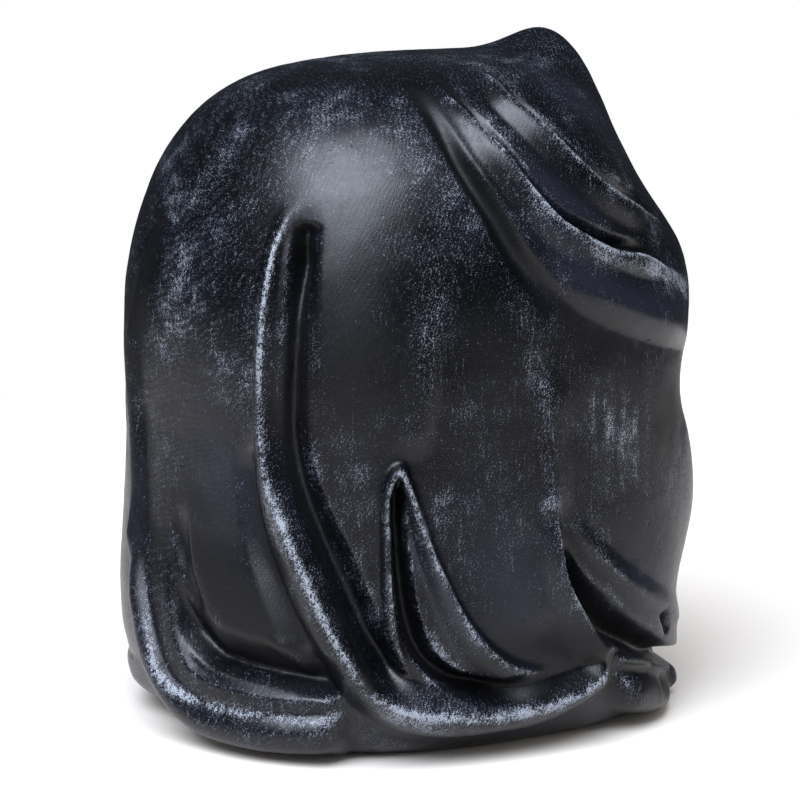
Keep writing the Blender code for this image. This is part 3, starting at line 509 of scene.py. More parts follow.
# The raised faces of one row of teeth, narrower towards the sides.
def toothRow(x, z, span, width):
    bottom, top = span
    raised = np.zeros_like(x)
    edge = 0.0
    for number in range(skull["teethPerSide"]):
        thisWidth = width * (1 - skull["toothTaper"] * number)
        across = (x - edge - thisWidth / 2) / (thisWidth / 2)
        longer = skull["longToothExtra"] if number == skull["longTooth"] else 0.0
        up = (z - (bottom + top) / 2) / ((top - bottom) / 2 + longer)
        face = np.clip(1 - np.abs(across) ** 4, 0, 1) * np.clip(1 - np.abs(up) ** 4, 0, 1)
        raised = np.maximum(raised, np.sqrt(face) * (1 - skull["toothDrop"] * number))
        edge += thisWidth
    return raised


# How deep the eye socket is, from 0 to 1.
def socketRelief(side, z):
    halfWidth = skull["socketWidth"] / skullMm / 2
    tilt = math.radians(skull["socketTilt"])
    across = side - skull["socketMiddle"][0]
    up = z - skull["socketMiddle"][1]
    turnedX = np.abs(across * math.cos(tilt) - up * math.sin(tilt)) / halfWidth
    turnedZ = np.abs(across * math.sin(tilt) + up * math.cos(tilt)) / skull["socketHalfHeight"]
    power = skull["socketSquareness"]
    q = (turnedX**power + turnedZ**power) ** (1 / power)
    s = np.clip((skull["socketSpread"] - q) / skull["socketEdge"], 0, 1)
    return s * s * (3 - 2 * s)


# How far the skull's face stands out at places in front, all in drawn millimetres.
def faceRelief(x, z):
    side = np.abs(x)
    relief = -skull["socketDepth"] / skullMm * socketRelief(side, z)
    for lift, halfWidth, path in faceRidges:
        relief += lift * ridge(side, z, path, halfWidth)
    for lift, middle, radii, edge in faceBumps:
        relief += lift * bump(side, z, middle, radii, edge)
    nose = np.maximum(*(bump(side, z, middle, radii, skull["noseEdge"])
                        for middle, radii in skull["noseLobes"]))
    bar = skull["noseBarShare"] * bump(side, z, *skull["noseBar"])
    relief -= skull["noseDepth"] * nose * (1 - bar)
    upperWidth = skull["toothWidth"] / skullMm
    lowerWidth = upperWidth * skull["lowerToothShare"]
    relief += skull["toothLift"] * toothRow(side, z, skull["upperTeeth"], upperWidth)
    relief += skull["toothLift"] * toothRow(side, z, skull["lowerTeeth"], lowerWidth)
    roots = np.sqrt(toothRow(side, z, skull["upperRoots"], upperWidth))
    roots = np.maximum(roots, toothRow(side, z, skull["lowerRoots"], lowerWidth))
    return relief + skull["rootLift"] * roots


# Points of the carved hood, before its peak is drawn up.
def carvedPoints(bearings, climbs):
    points = hoodPoints(bearings, climbs)
    normals = hoodNormals(bearings, climbs)
    lifts = np.zeros(len(points))
    for stroke in rightFolds + backFolds + leftFolds + hemFolds:
        lifts += foldLift(points, stroke)
    for bearing, height, lift, degrees, reach in swells:
        turned = (bearings - bearing + 180) % 360 - 180
        raised = points[:, 2] / mm - height
        lifts += lift * mm * np.exp(-((turned / degrees) ** 2) - (raised / reach) ** 2)
    lifts *= np.clip((1 - climbs) / 0.04, 0, 1)
    return points + normals * lifts[:, None]


# How much of the peak's rise each point takes.
def peakShare(points):
    sideways = points[:, 0] / hood["peakReachAcross"]
    forward = (points[:, 1] + hood["peakForward"]) / hood["peakReachAlong"]
    grown = np.clip((points[:, 2] - hood["peakFoot"]) / hood["peakGrowth"], 0, 1)
    return np.exp(-(sideways**2) - forward**2) * grown


def peakHeight(points):
    share = peakShare(points)
    near = share > 0.3
    return ((hood["height"] - points[near, 2]) / share[near]).min()


def readPoints(piece):
    spots = np.empty(len(piece.data.vertices) * 3)
    piece.data.vertices.foreach_get("co", spots)
    return spots.reshape(-1, 3)


def writePoints(piece, spots):
    piece.data.vertices.foreach_set("co", np.ascontiguousarray(spots).reshape(-1))
    piece.data.update()


# Works on one piece alone in edit mode, with all of it selected.
def openForEditing(piece):
    bpy.ops.object.select_all(action="DESELECT")
    piece.select_set(True)
    bpy.context.view_layer.objects.active = piece
    bpy.ops.object.mode_set(mode="EDIT")
    bpy.ops.mesh.select_all(action="SELECT")


# A sheet rolled up into a closed form, with its rings numbered from 0 at the bottom, and each point
# moved to where place says.
def rolledForm(name, segments, rings, place):
    bpy.ops.object.select_all(action="DESELECT")
    bpy.ops.mesh.primitive_grid_add(x_subdivisions=segments, y_subdivisions=rings, size=2)
    form = bpy.context.object
    form.name = name
    spots = readPoints(form)
    bearings = np.round((spots[:, 0] + 1) * segments / 2) % segments * 360 / segments
    writePoints(form, place(bearings, np.round((spots[:, 1] + 1) * rings / 2)))
    openForEditing(form)
    bpy.ops.mesh.remove_doubles(threshold=0.000001)
    bpy.ops.mesh.normals_make_consistent(inside=False)
    bpy.ops.object.mode_set(mode="OBJECT")
    return form


def useModifier(piece, kind, **settings):
    bpy.ops.object.select_all(action="DESELECT")
    piece.select_set(True)
    bpy.context.view_layer.objects.active = piece
    modifier = piece.modifiers.new(kind.title(), kind)
    for key, value in settings.items():
        setattr(modifier, key, value)
    bpy.ops.object.modifier_apply(modifier=modifier.name)


def placeHood(bearings, ring):
    climbs = np.clip((ring - 2) / (hood["climbSteps"] - 2), 0, 1)
    points = carvedPoints(bearings, climbs)
    hood["peakRise"] = peakHeight(points)
    points[:, 2] += hood["peakRise"] * peakShare(points)
    points[ring <= 1, 2] = -hood["skirt"]
    points[ring == 0, :2] = 0
    return points


def placeMouth(bearings, ring):
    last = len(mouthStations) - 1
    station = np.clip(ring - 1, 0, last).astype(int)
    stations = np.array(mouthStations)
    share = np.where((ring == 0) | (ring == last + 2), 0, stations[station, 1])
    across = np.sin(np.radians(bearings))
    up = np.cos(np.radians(bearings))
    narrowing = mouth["upperTaper"] * np.clip(up, 0, 1) ** mouth["upperTaperPower"]
    squared = np.where(up > 0, 1.0, mouth["lowerSquareness"])
    x = np.sign(across) * np.abs(across) ** squared * (1 - narrowing) * mouth["width"] / 2 * share
    z = np.sign(up) * np.abs(up) ** squared * mouth["height"] / 2 * share
    y = stations[station, 0] * mouth["depth"] - mouth["rimPlace"] * hood["depth"] / 2
    return np.stack([x, y, z + mouth["sill"] + mouth["height"] / 2], axis=-1)


def placeSkull(bearings, ring):
    rows = skullRowsInMetres()
    last = skull["climbSteps"]
    heights = np.clip((ring - 1) / (last - 1), 0, 1) * skull["height"] * 0.998
    cap = (ring == 0) | (ring == last + 1)
    half, back, far = (slopeCurve(rows[:, 0], rows[:, i], heights) for i in (1, 2, 3))
    turns = np.radians(bearings)
    turns = turns + skull["frontSpread"] * np.sin(2 * turns) * np.cos(turns / 2) ** 2
    across = np.sign(np.sin(turns)) * np.abs(np.sin(turns)) ** (2 / skull["squareness"])
    ahead = np.sign(np.cos(turns)) * np.abs(np.cos(turns)) ** (2 / skull["squareness"])
    across[cap] = 0
    ahead[cap] = 0
    front = -skull["frontPlace"] * hood["depth"] / 2 + skull["setBack"]
    x = half * across
    y = front + back + far / 2 * (1 - ahead)
    relief = faceRelief(x / skullMm, heights / skullMm) * skullMm
    y -= relief * np.clip(ahead * skull["faceFade"], 0, 1)
    return np.stack([x, y, mouth["sill"] + skull["chinGap"] + heights], axis=-1)


# How the casting is finished, in metres and shares.
casting = {
    "voxel": 0.00052,           # fineness of the one skin that joins hood and skull
    "triangles": 192000,
    "softening": 0.3,
    "handWave": 0.011,          # length of the slight unevenness left by the carver's hand
    "handDepth": 0.00034,
    "clearance": 0.00003,       # kept inside the solid's box on each side
    "footRound": 0.0045,        # height over which the hem turns under
    "footPull": 0.095,          # and by how much of its reach
    "floorSlack": 0.000002,     # what counts as on the floor
    "crestTurns": 10,           # how far round each point its crest is measured
    "crestHeight": 0.00022,     # that counts as a full crest
    "boneReach": 0.0016,        # from the plain skull, within which the face is painted
    "boneFade": 0.0010,
    "boneDepth": 0.034,         # behind which it fades out
}


# The piece's points, and how far each stands out of the surface round it.
def standOut(piece, turns):
    spots = readPoints(piece)
    count = len(spots)
    pairs = np.empty(len(piece.data.edges) * 2, dtype=np.int64)
    piece.data.edges.foreach_get("vertices", pairs)
    a, b = pairs.reshape(-1, 2).T
    joined = np.bincount(a, minlength=count) + np.bincount(b, minlength=count)
    normals = np.empty(count * 3)
    piece.data.vertices.foreach_get("normal", normals)
    normals = normals.reshape(-1, 3)
    soft = spots.copy()
    for _ in range(turns):
        total = np.stack([np.bincount(a, soft[b, i], count) + np.bincount(b, soft[a, i], count)
                          for i in range(3)], axis=-1)
        soft = 0.5 * soft + 0.5 * total / joined[:, None]
    return spots, ((spots - soft) * normals).sum(1)


print("shaping the hood")
piece = rolledForm("hoodedSkull", hood["roundSteps"], hood["climbSteps"], placeHood)
cutter = rolledForm("mouthCutter", mouth["sides"], len(mouthStations) + 1, placeMouth)
useModifier(piece, "BOOLEAN", operation="DIFFERENCE", object=cutter, solver="MANIFOLD")
bpy.data.objects.remove(cutter)
print("hood opened", len(piece.data.vertices))
face = rolledForm("skullFace", skull["roundSteps"], skull["climbSteps"] + 1, placeSkull)
faceSpots = readPoints(face)
bpy.ops.object.select_all(action="DESELECT")
face.select_set(True)
piece.select_set(True)
bpy.context.view_layer.objects.active = piece
bpy.ops.object.join()
useModifier(piece, "REMESH", mode="VOXEL", voxel_size=casting["voxel"])
useModifier(piece, "SMOOTH", factor=casting["softening"], iterations=1)
print("cast in one", len(piece.data.vertices))

hand = bpy.data.textures.new("handCarving", "CLOUDS")
hand.noise_scale = casting["handWave"]
useModifier(piece, "DISPLACE", texture=hand, strength=casting["handDepth"], mid_level=0.5,
            texture_coords="LOCAL")
fineSpots, fineOut = standOut(piece, casting["crestTurns"])
faces = sum(len(polygon.vertices) - 2 for polygon in piece.data.polygons)
useModifier(piece, "DECIMATE", ratio=casting["triangles"] / faces, use_collapse_triangulate=True)
openForEditing(piece)
bpy.ops.mesh.bisect(plane_co=(0, 0, 0), plane_no=(0, 0, 1), use_fill=True, clear_inner=True,
                    threshold=0.000001)
bpy.ops.mesh.select_all(action="SELECT")
bpy.ops.mesh.quads_convert_to_tris(quad_method="BEAUTY", ngon_method="BEAUTY")
bpy.ops.mesh.normals_make_consistent(inside=False)
bpy.ops.mesh.select_all(action="DESELECT")
bpy.ops.object.mode_set(mode="OBJECT")

# All that isn't joined to the hood's peak is scrap, and goes.
piece.data.vertices[int(readPoints(piece)[:, 2].argmax())].select = True
bpy.ops.object.mode_set(mode="EDIT")
bpy.ops.mesh.select_linked()
bpy.ops.mesh.select_all(action="INVERT")
bpy.ops.mesh.delete(type="VERT")
bpy.ops.object.mode_set(mode="OBJECT")
print("trimmed", len(piece.data.vertices), "points", len(piece.data.polygons), "triangles")

# The piece is centred, turned under at its foot and fitted into the solid's own box.
spots = readPoints(piece)
middle = (spots.min(0) + spots.max(0)) / 2
middle[2] = 0
moved = spots - middle
moved[moved[:, 2] < casting["floorSlack"], 2] = 0
under = 1 - np.clip(moved[:, 2] / casting["footRound"], 0, 1)
moved[:, :2] *= (1 - casting["footPull"] * (1 - np.sqrt(1 - 0.999 * under**2)))[:, None]
cadLow, cadHigh = (np.array(corner) for corner in cadBox)
room = (cadHigh - cadLow) / 2 - casting["clearance"]
room[2] = cadHigh[2] - casting["clearance"]
reach = np.array([np.abs(moved[:, 0]).max(), np.abs(moved[:, 1]).max(), moved[:, 2].max()])
writePoints(piece, moved * np.minimum(1, room / reach))
print("size before fitting", (reach * 1000).round(2), "room", (room * 1000).round(2))

# Where the pale dry brush, the painted shade of the hollows and the painted sheen of the smoother
# paint go:
# paths of bearing and height on the hood, with a half width in millimetres and strengths spread
# along the way.
brushWork = (
    ([(94, 149), (92, 146), (94.2, 142.5), (98.8, 135), (102.5, 130.7), (108.2, 125.6),
      (115.8, 121.3), (126.8, 117.5), (137.2, 113.6)], 0.8, (0.2, 0.5, 0.35, 0.3, 0.5, 0.4)),
    ([(68.5, 146.8), (75.2, 141.1), (78.2, 136), (82.8, 131.4), (86, 125.9), (90.5, 120.3),
      (98, 115.1), (106, 110.9), (116.8, 108.7), (129.8, 102.5), (144, 96.5)], 1.0,
     (0.2, 0.3, 0.4, 0.7, 0.8, 0.7)),
    ([(86, 123), (92, 117), (98, 112.5), (106, 108.5), (117, 106), (130, 101), (143, 95)], 3.0,
     (0.1, 0.3, 0.6, 0.75, 0.9, 0.5)),
    ([(33.5, 124.9), (30, 123.6), (27.8, 118), (27, 106.6), (26, 93.2), (25.8, 82)], 1.0,
     (0.8, 1.0, 0.8, 0.65)),
    ([(30, 123.6), (26, 118), (24.6, 106.6), (24, 93.2), (24, 82)], 2.6, (0.2, 0.35, 0.35, 0.3)),
    ([(26, 81), (26.5, 73), (28, 64), (32, 53.4), (35.5, 44.4), (39, 35), (43, 26.3), (47.2, 18.6),
      (53, 14.9), (62, 12.9), (74.2, 12.1), (87.8, 13.2), (96.8, 15.4), (104, 19.1)], 1.3,
     (0.5, 0.6, 0.8, 0.9, 0.8, 0.75, 0.85, 0.85, 0.7)),
    ([(24, 82), (24.5, 73), (27, 60), (32, 47), (38, 33)], 2.0, (0.4, 0.45, 0.3, 0.15)),
    ([(44, 24), (48, 17), (54, 12.5), (62, 9.5)], 3.0, (0.1, 0.5, 0.6, 0.2)),
    ([(52.8, 67), (54.5, 64.4), (56.2, 59.2), (58, 54), (59.2, 49), (61.8, 43.3), (64, 37.8),
      (67, 30.1), (73, 23.8), (82, 18.9)], 1.4, (0.5, 0.35, 0.5, 0.75, 0.75, 0.4)),
    ([(52.8, 67.1), (51.2, 65.5), (50.8, 61.9), (51, 49.3), (51.2, 40.5), (51.8, 31.5),
      (54.5, 21.1), (61.2, 14), (68.5, 12.4), (76.2, 12.7)], 0.45, (0.6, 0.3, 0.15, 0.2, 0.2)),
    ([(31.8, 82.5), (33.8, 64.7), (39.8, 44.9), (46.2, 27.1), (50, 18.1)], 0.35,
     (0.1, 0.3, 0.6, 0.6)),
    ([(88.8, 57), (89, 48), (91, 38.6), (94.5, 31.8), (99, 23.8), (106, 19.1)], 0.6,
     (0.1, 0.4, 0.5, 0.55, 0.4)),
    ([(-8, 48), (-5.6, 35), (-2.6, 27), (0.2, 20), (3.8, 15.4), (9, 13.2), (16, 12.4), (25, 12.2),
      (34.5, 12.4), (42, 13)], 1.25, (0.3, 0.6, 0.9, 1.0, 0.9, 0.6)),
    ([(4.2, 33.4), (6.4, 25.7), (10, 21), (15.8, 19.8), (21.8, 18.8), (30.2, 17.8), (38, 17.6)],
     0.35, (0.1, 0.6, 0.7, 0.7, 0.6)),
    ([(26.5, 28.2), (30.2, 25.2), (35.2, 21.1), (37.5, 18.3)], 1.3, (0.1, 0.5, 0.55, 0.3)),
    ([(87.2, 21.1), (94, 19.4), (97.8, 21.1), (102.2, 20.8), (107, 17.5), (112.8, 12.1)], 0.45,
     (0.3, 0.7, 0.7, 0.5, 0.5)),
    ([(104, 17.5), (108, 13.5), (112, 10.5)], 1.8, (0.2, 0.65, 0.2)),
    ([(100, 147), (108, 149), (120, 151)], 4.0, (0.2, 0.55, 0.3)),
    ([(8, 139), (4, 128), (-2, 120)], 8.0, (0.1, 0.32, 0.2)),
    ([(20, 132), (16, 124)], 7.0, (0.25, 0.2)),
    ([(2, 112), (0, 96), (2, 84)], 6.0, (0.1, 0.2, 0.1)),
    ([(62, 118), (60, 108), (59, 96), (58, 84)], 5.0, (0.2, 0.36, 0.34, 0.2)),
    ([(80, 96), (84, 84), (86, 72), (88, 60)], 4.0, (0.15, 0.3, 0.3, 0.2)),
    ([(99, 90), (100, 76), (100, 60)], 1.0, (0.2, 0.5, 0.2)),
    ([(103.5, 92), (104, 78), (104, 56)], 1.3, (0.2, 0.55, 0.3)),
    ([(108.5, 86), (109, 72), (108.5, 54)], 1.2, (0.3, 0.6, 0.2)),
    ([(112, 78), (112.5, 66), (112, 58)], 2.0, (0.2, 0.5, 0.4)),
    ([(116, 88), (117, 70), (116, 52)], 1.6, (0.2, 0.45, 0.2)),
)
# Painted shade: grooves, hollows and the shelf over the hem are painted darker than the black and
# get no dry brush.
paintedShadeWork = (
    ([(97, 146), (97, 141.8), (99.8, 138.1), (103.2, 133.4), (108.8, 128.7), (116, 123.9),
      (125, 120), (137, 115.7)], 1.2, (0.7, 0.9, 0.8, 0.6)),
    ([(69, 148.8), (74, 143.9), (78, 139.2), (81.2, 135), (84.2, 130.1), (88.2, 124.4), (93, 120.1),
      (99.8, 116.4), (107.5, 112.2), (118.2, 110.1), (126.2, 106)], 1.1, (0.6, 0.9, 1.0, 0.9, 0.7)),
    ([(58.8, 146.4), (62.5, 142.7), (67.2, 134.8), (71.8, 128.2), (76.2, 122.4), (79.8, 114.3),
      (85, 107.9), (92.2, 98.7)], 3.2, (0.7, 1.0, 1.0, 0.9, 0.4)),
    ([(32.5, 122.4), (31.8, 117.5), (32.5, 106.8), (32, 89.3), (31.8, 80.3)], 3.4,
     (1.0, 1.0, 0.8, 0.8)),
    ([(30.2, 80.3), (32, 64.7), (38.2, 47.1), (44.5, 29.3), (47.5, 21.3)], 2.4,
     (0.8, 1.0, 0.9, 0.8)),
    ([(21.8, 66), (23, 57), (26, 48), (30, 38.6), (34.5, 30.7), (39.5, 22)], 1.6,
     (0.3, 0.7, 0.8, 0.9)),
    ([(52.2, 61.4), (52.5, 49.3), (54, 34.8), (57.8, 23.3), (61.8, 19.7), (68.2, 16.7),
      (84.2, 16.4)], 2.6, (1.0, 1.0, 1.0, 1.0)),
    ([(90.5, 46), (92.5, 39.7), (97.5, 32.6), (103, 27), (109, 22.4), (116.5, 18.6)], 4.6,
     (0.6, 1.0, 1.0, 1.0)),
    ([(6.8, 40), (9.5, 31), (13.2, 26), (20.8, 25.5), (28.2, 23), (35.8, 20.6)], 4.6,
     (0.4, 0.8, 1.0, 1.0, 0.9)),
    ([(7, 50), (13, 41), (21, 35), (29, 30)], 8.0, (0.5, 0.9, 1.0, 0.7)),
    ([(73, 24), (81, 24.4), (89, 24.6), (97.5, 22.4)], 5.0, (0.3, 0.75, 0.85, 0.8)),
    ([(116, 13.7), (123, 9.1), (133, 6.5)], 3.4, (0.4, 1.0, 1.0)),
    ([(-8, 116), (-12, 104), (-14, 92), (-14, 78)], 4.0, (0.5, 0.7, 0.6, 0.4)),
    ([(40, 112), (43, 100), (46, 86)], 10.0, (0.45, 0.7, 0.4)),
    ([(70, 98), (74, 88), (76, 78)], 7.0, (0.3, 0.5, 0.3)),
    ([(50, 76), (51, 71)], 4.0, (0.3, 0.42)),
    ([(98, 96), (104, 90), (114, 86)], 6.0, (0.3, 0.4, 0.3)),
)
# Painted sheen: smoother parts are painted a lighter slate grey that stands in for the reflection
# of the room, and carry fewer flecks.
smoothPaintedSheenWork = (
    ([(86, 119), (96, 108), (107, 101), (121, 96), (140, 90)], 6.0, (0.2, 0.9, 1.0, 1.0, 0.8)),
    ([(84, 134), (92, 127), (100, 121), (110, 116)], 4.0, (0.3, 0.9, 0.9, 0.4)),
    ([(10, 76), (13, 66), (16, 54)], 10.0, (0.4, 1.0, 0.6)),
    ([(56, 50), (60, 42), (64, 34), (70, 27)], 3.0, (0.6, 1.0, 1.0, 0.6)),
    ([(72, 56), (76, 44), (80, 34)], 10.0, (0.3, 0.9, 0.9)),
    ([(112, 42), (118, 32)], 7.0, (0.7, 0.9)),
    ([(54, 8), (72, 6), (90, 6), (104, 7)], 4.0, (0.7, 1.0, 1.0, 0.7)),
    ([(-5, 24), (-1, 12), (5, 7), (15, 5.4), (27, 5), (40, 5.4)], 4.2, (0.7, 1.0, 1.0, 0.8)),
    ([(140, 138), (130, 142)], 9.0, (0.5, 0.7)),
    ([(-12, 60), (-12, 44), (-11, 30)], 5.0, (0.5, 0.7, 0.4)),
)


# A path of bearings and heights as points on the finished piece.
def paintLine(path):
    path = np.array(path, dtype=float)
    places = np.concatenate([[0.0], np.cumsum(np.hypot(np.diff(path[:, 0]), np.diff(path[:, 1])))])
    at = np.linspace(0, places[-1], 16 * len(path))
    climbs = climbAt(slopeCurve(places, path[:, 1], at) * mm)
    line = carvedPoints(slopeCurve(places, path[:, 0], at), climbs)
    line[:, 2] += hood["peakRise"] * peakShare(line)
    return line - middle


# How strongly each point is painted by a set of strokes, from 0 to 1.
def painted(points, strokes):
    strength = np.zeros(len(points))
    for path, halfWidth, along in strokes:
        line = paintLine(path)
        reach = 2.2 * halfWidth * mm
        near = np.all((points > line.min(0) - reach) & (points < line.max(0) + reach), axis=1)
        chosen = np.nonzero(near)[0]
        here = points[chosen]
        gaps = (here**2).sum(1)[:, None] - 2 * here @ line.T + (line**2).sum(1)
        nearest = gaps.argmin(1)
        gap = np.sqrt(np.maximum(gaps[np.arange(len(here)), nearest], 0)) / (halfWidth * mm)
        share = nearest / (len(line) - 1)
        here = alongPath(along, share) * np.exp(-(gap**2))
        strength[chosen] = np.maximum(strength[chosen], here)
    return strength


# Writes one number for each point, for the paint to read.
def writeLook(name, values):
    look = piece.data.attributes.new(name, "FLOAT", "POINT")
    look.data.foreach_set("value", values.astype(np.float32))


# For each point, which spot lies nearest and how far off it is.
def nearestSpots(points, spots):
    tree = KDTree(len(spots))
    for index, spot in enumerate(spots):
        tree.insert(spot, index)
    tree.balance()
    found = np.array([tree.find(point)[1:] for point in points])
    return found[:, 0].astype(int), found[:, 1]


points = readPoints(piece)
nearest, _ = nearestSpots(points, fineSpots - middle)
crest = np.clip(fineOut[nearest] / casting["crestHeight"], -1, 1)
_, offFace = nearestSpots(points, faceSpots - middle)
faceLine = -skull["frontPlace"] * hood["depth"] / 2 + skull["setBack"]
depth = np.clip((points[:, 1] - faceLine) / casting["boneDepth"], 0, 1)
bone = np.clip((casting["boneReach"] - offFace) / casting["boneFade"], 0, 1) * (1 - depth)
writeLook("brush", painted(points, brushWork))
writeLook("paintedShade", painted(points, paintedShadeWork))
writeLook("smoothPaintedSheen", painted(points, smoothPaintedSheenWork))
writeLook("crest", crest)
writeLook("bone", bone)
print("paint laid out")

# The paint: colours are linear, sizes in metres.
paint = {
    "black": (0.0006, 0.0007, 0.0014, 1),
    "middle": (0.0018, 0.0021, 0.0038, 1),
    # painted sheen: the lighter grey of the smoother paint stands in for its reflection
    "smoothPaintedSheen": (0.0072, 0.0080, 0.0132, 1),
    # painted shade: darker than the black, for the hollows
    "hollow": (0.0004, 0.0004, 0.0008, 1),
    "pale": (0.165, 0.180, 0.208, 1),
    "paleDull": (0.066, 0.074, 0.094, 1),
    "specular": 0.28,
    "speck": 0.00027,           # size of one fleck of the dry brush
    "rowWay": (0.14, 0.82, 0.55),
    "rowStep": 0.00085,         # from one fine carving row to the next
    "rowBend": 0.0065,
    "cloud": 0.017,
    "fine": 0.0011,
    "patch": 0.0052,
    "uprightStreak": 0.0006,
    "slantedScratch": 0.0005,
    "pit": 0.0019,
    # How much each of these adds to the pale paint.
    "dustLeast": 0.08,
    "dust": 0.27,
    "onSmoothPaintedSheen": -0.16,
    "strokes": 0.46,
    "crests": 0.22,
    "creases": 0.25,
    "bone": 0.38,
    "inPaintedShade": -0.45,
    "rows": 0.055,
    "upright": 0.20,
    "slanted": 0.12,
    "grainGain": 2.3,
    "grainBase": -1.15,
    "fleckStart": -0.36,
    "fleckFade": 0.34,
    # What else the painted shade, the flecks and the fine relief do.
    "paintedShadeDarkness": 0.92,
    "paintedShadeRoughness": 0.24,
    "fleckRoughness": 0.22,
    "reliefStrength": 0.35,
    "reliefDepth": 0.00012,
}


def node(tree, kind, inputs=None, **settings):
    made = tree.nodes.new(kind)
    for key, value in settings.items():
        setattr(made, key, value)
    for key, value in (inputs or {}).items():
        if isinstance(value, bpy.types.NodeSocket):
            tree.links.new(value, made.inputs[key])
        else:
            made.inputs[key].default_value = value
    return made


def maths(tree, operation, *values, clamp=False):
    inputs = dict(enumerate(values))
    return node(tree, "ShaderNodeMath", inputs, operation=operation, use_clamp=clamp).outputs[0]


# A value times another, added to a third.
def added(tree, value, times, base):
    return maths(tree, "MULTIPLY_ADD", value, times, base)


def noise(tree, vector, size, detail=2.0, roughness=0.5):
    inputs = {"Vector": vector, "Scale": 1 / size, "Detail": detail, "Roughness": roughness}
    return node(tree, "ShaderNodeTexNoise", inputs).outputs["Fac"]


# Spreads a value between two limits over 0 to 1, with soft ends.
def spread(tree, value, low, high, start=0.0, end=1.0):
    inputs = {"Value": value, "From Min": low, "From Max": high, "To Min": start, "To Max": end}
    made = node(tree, "ShaderNodeMapRange", inputs, interpolation_type="SMOOTHSTEP")
    return made.outputs["Result"]


def blend(tree, share, a, b):
    made = node(tree, "ShaderNodeMix", {0: share, 6: a, 7: b}, data_type="RGBA")
    return made.outputs[2]


def stretched(tree, place, way, shares):
    inputs = {"Vector": place, "Rotation": way, "Scale": shares}
    return node(tree, "ShaderNodeMapping", inputs).outputs[0]


def lookOf(tree, name):
    return node(tree, "ShaderNodeAttribute", attribute_name=name).outputs["Fac"]


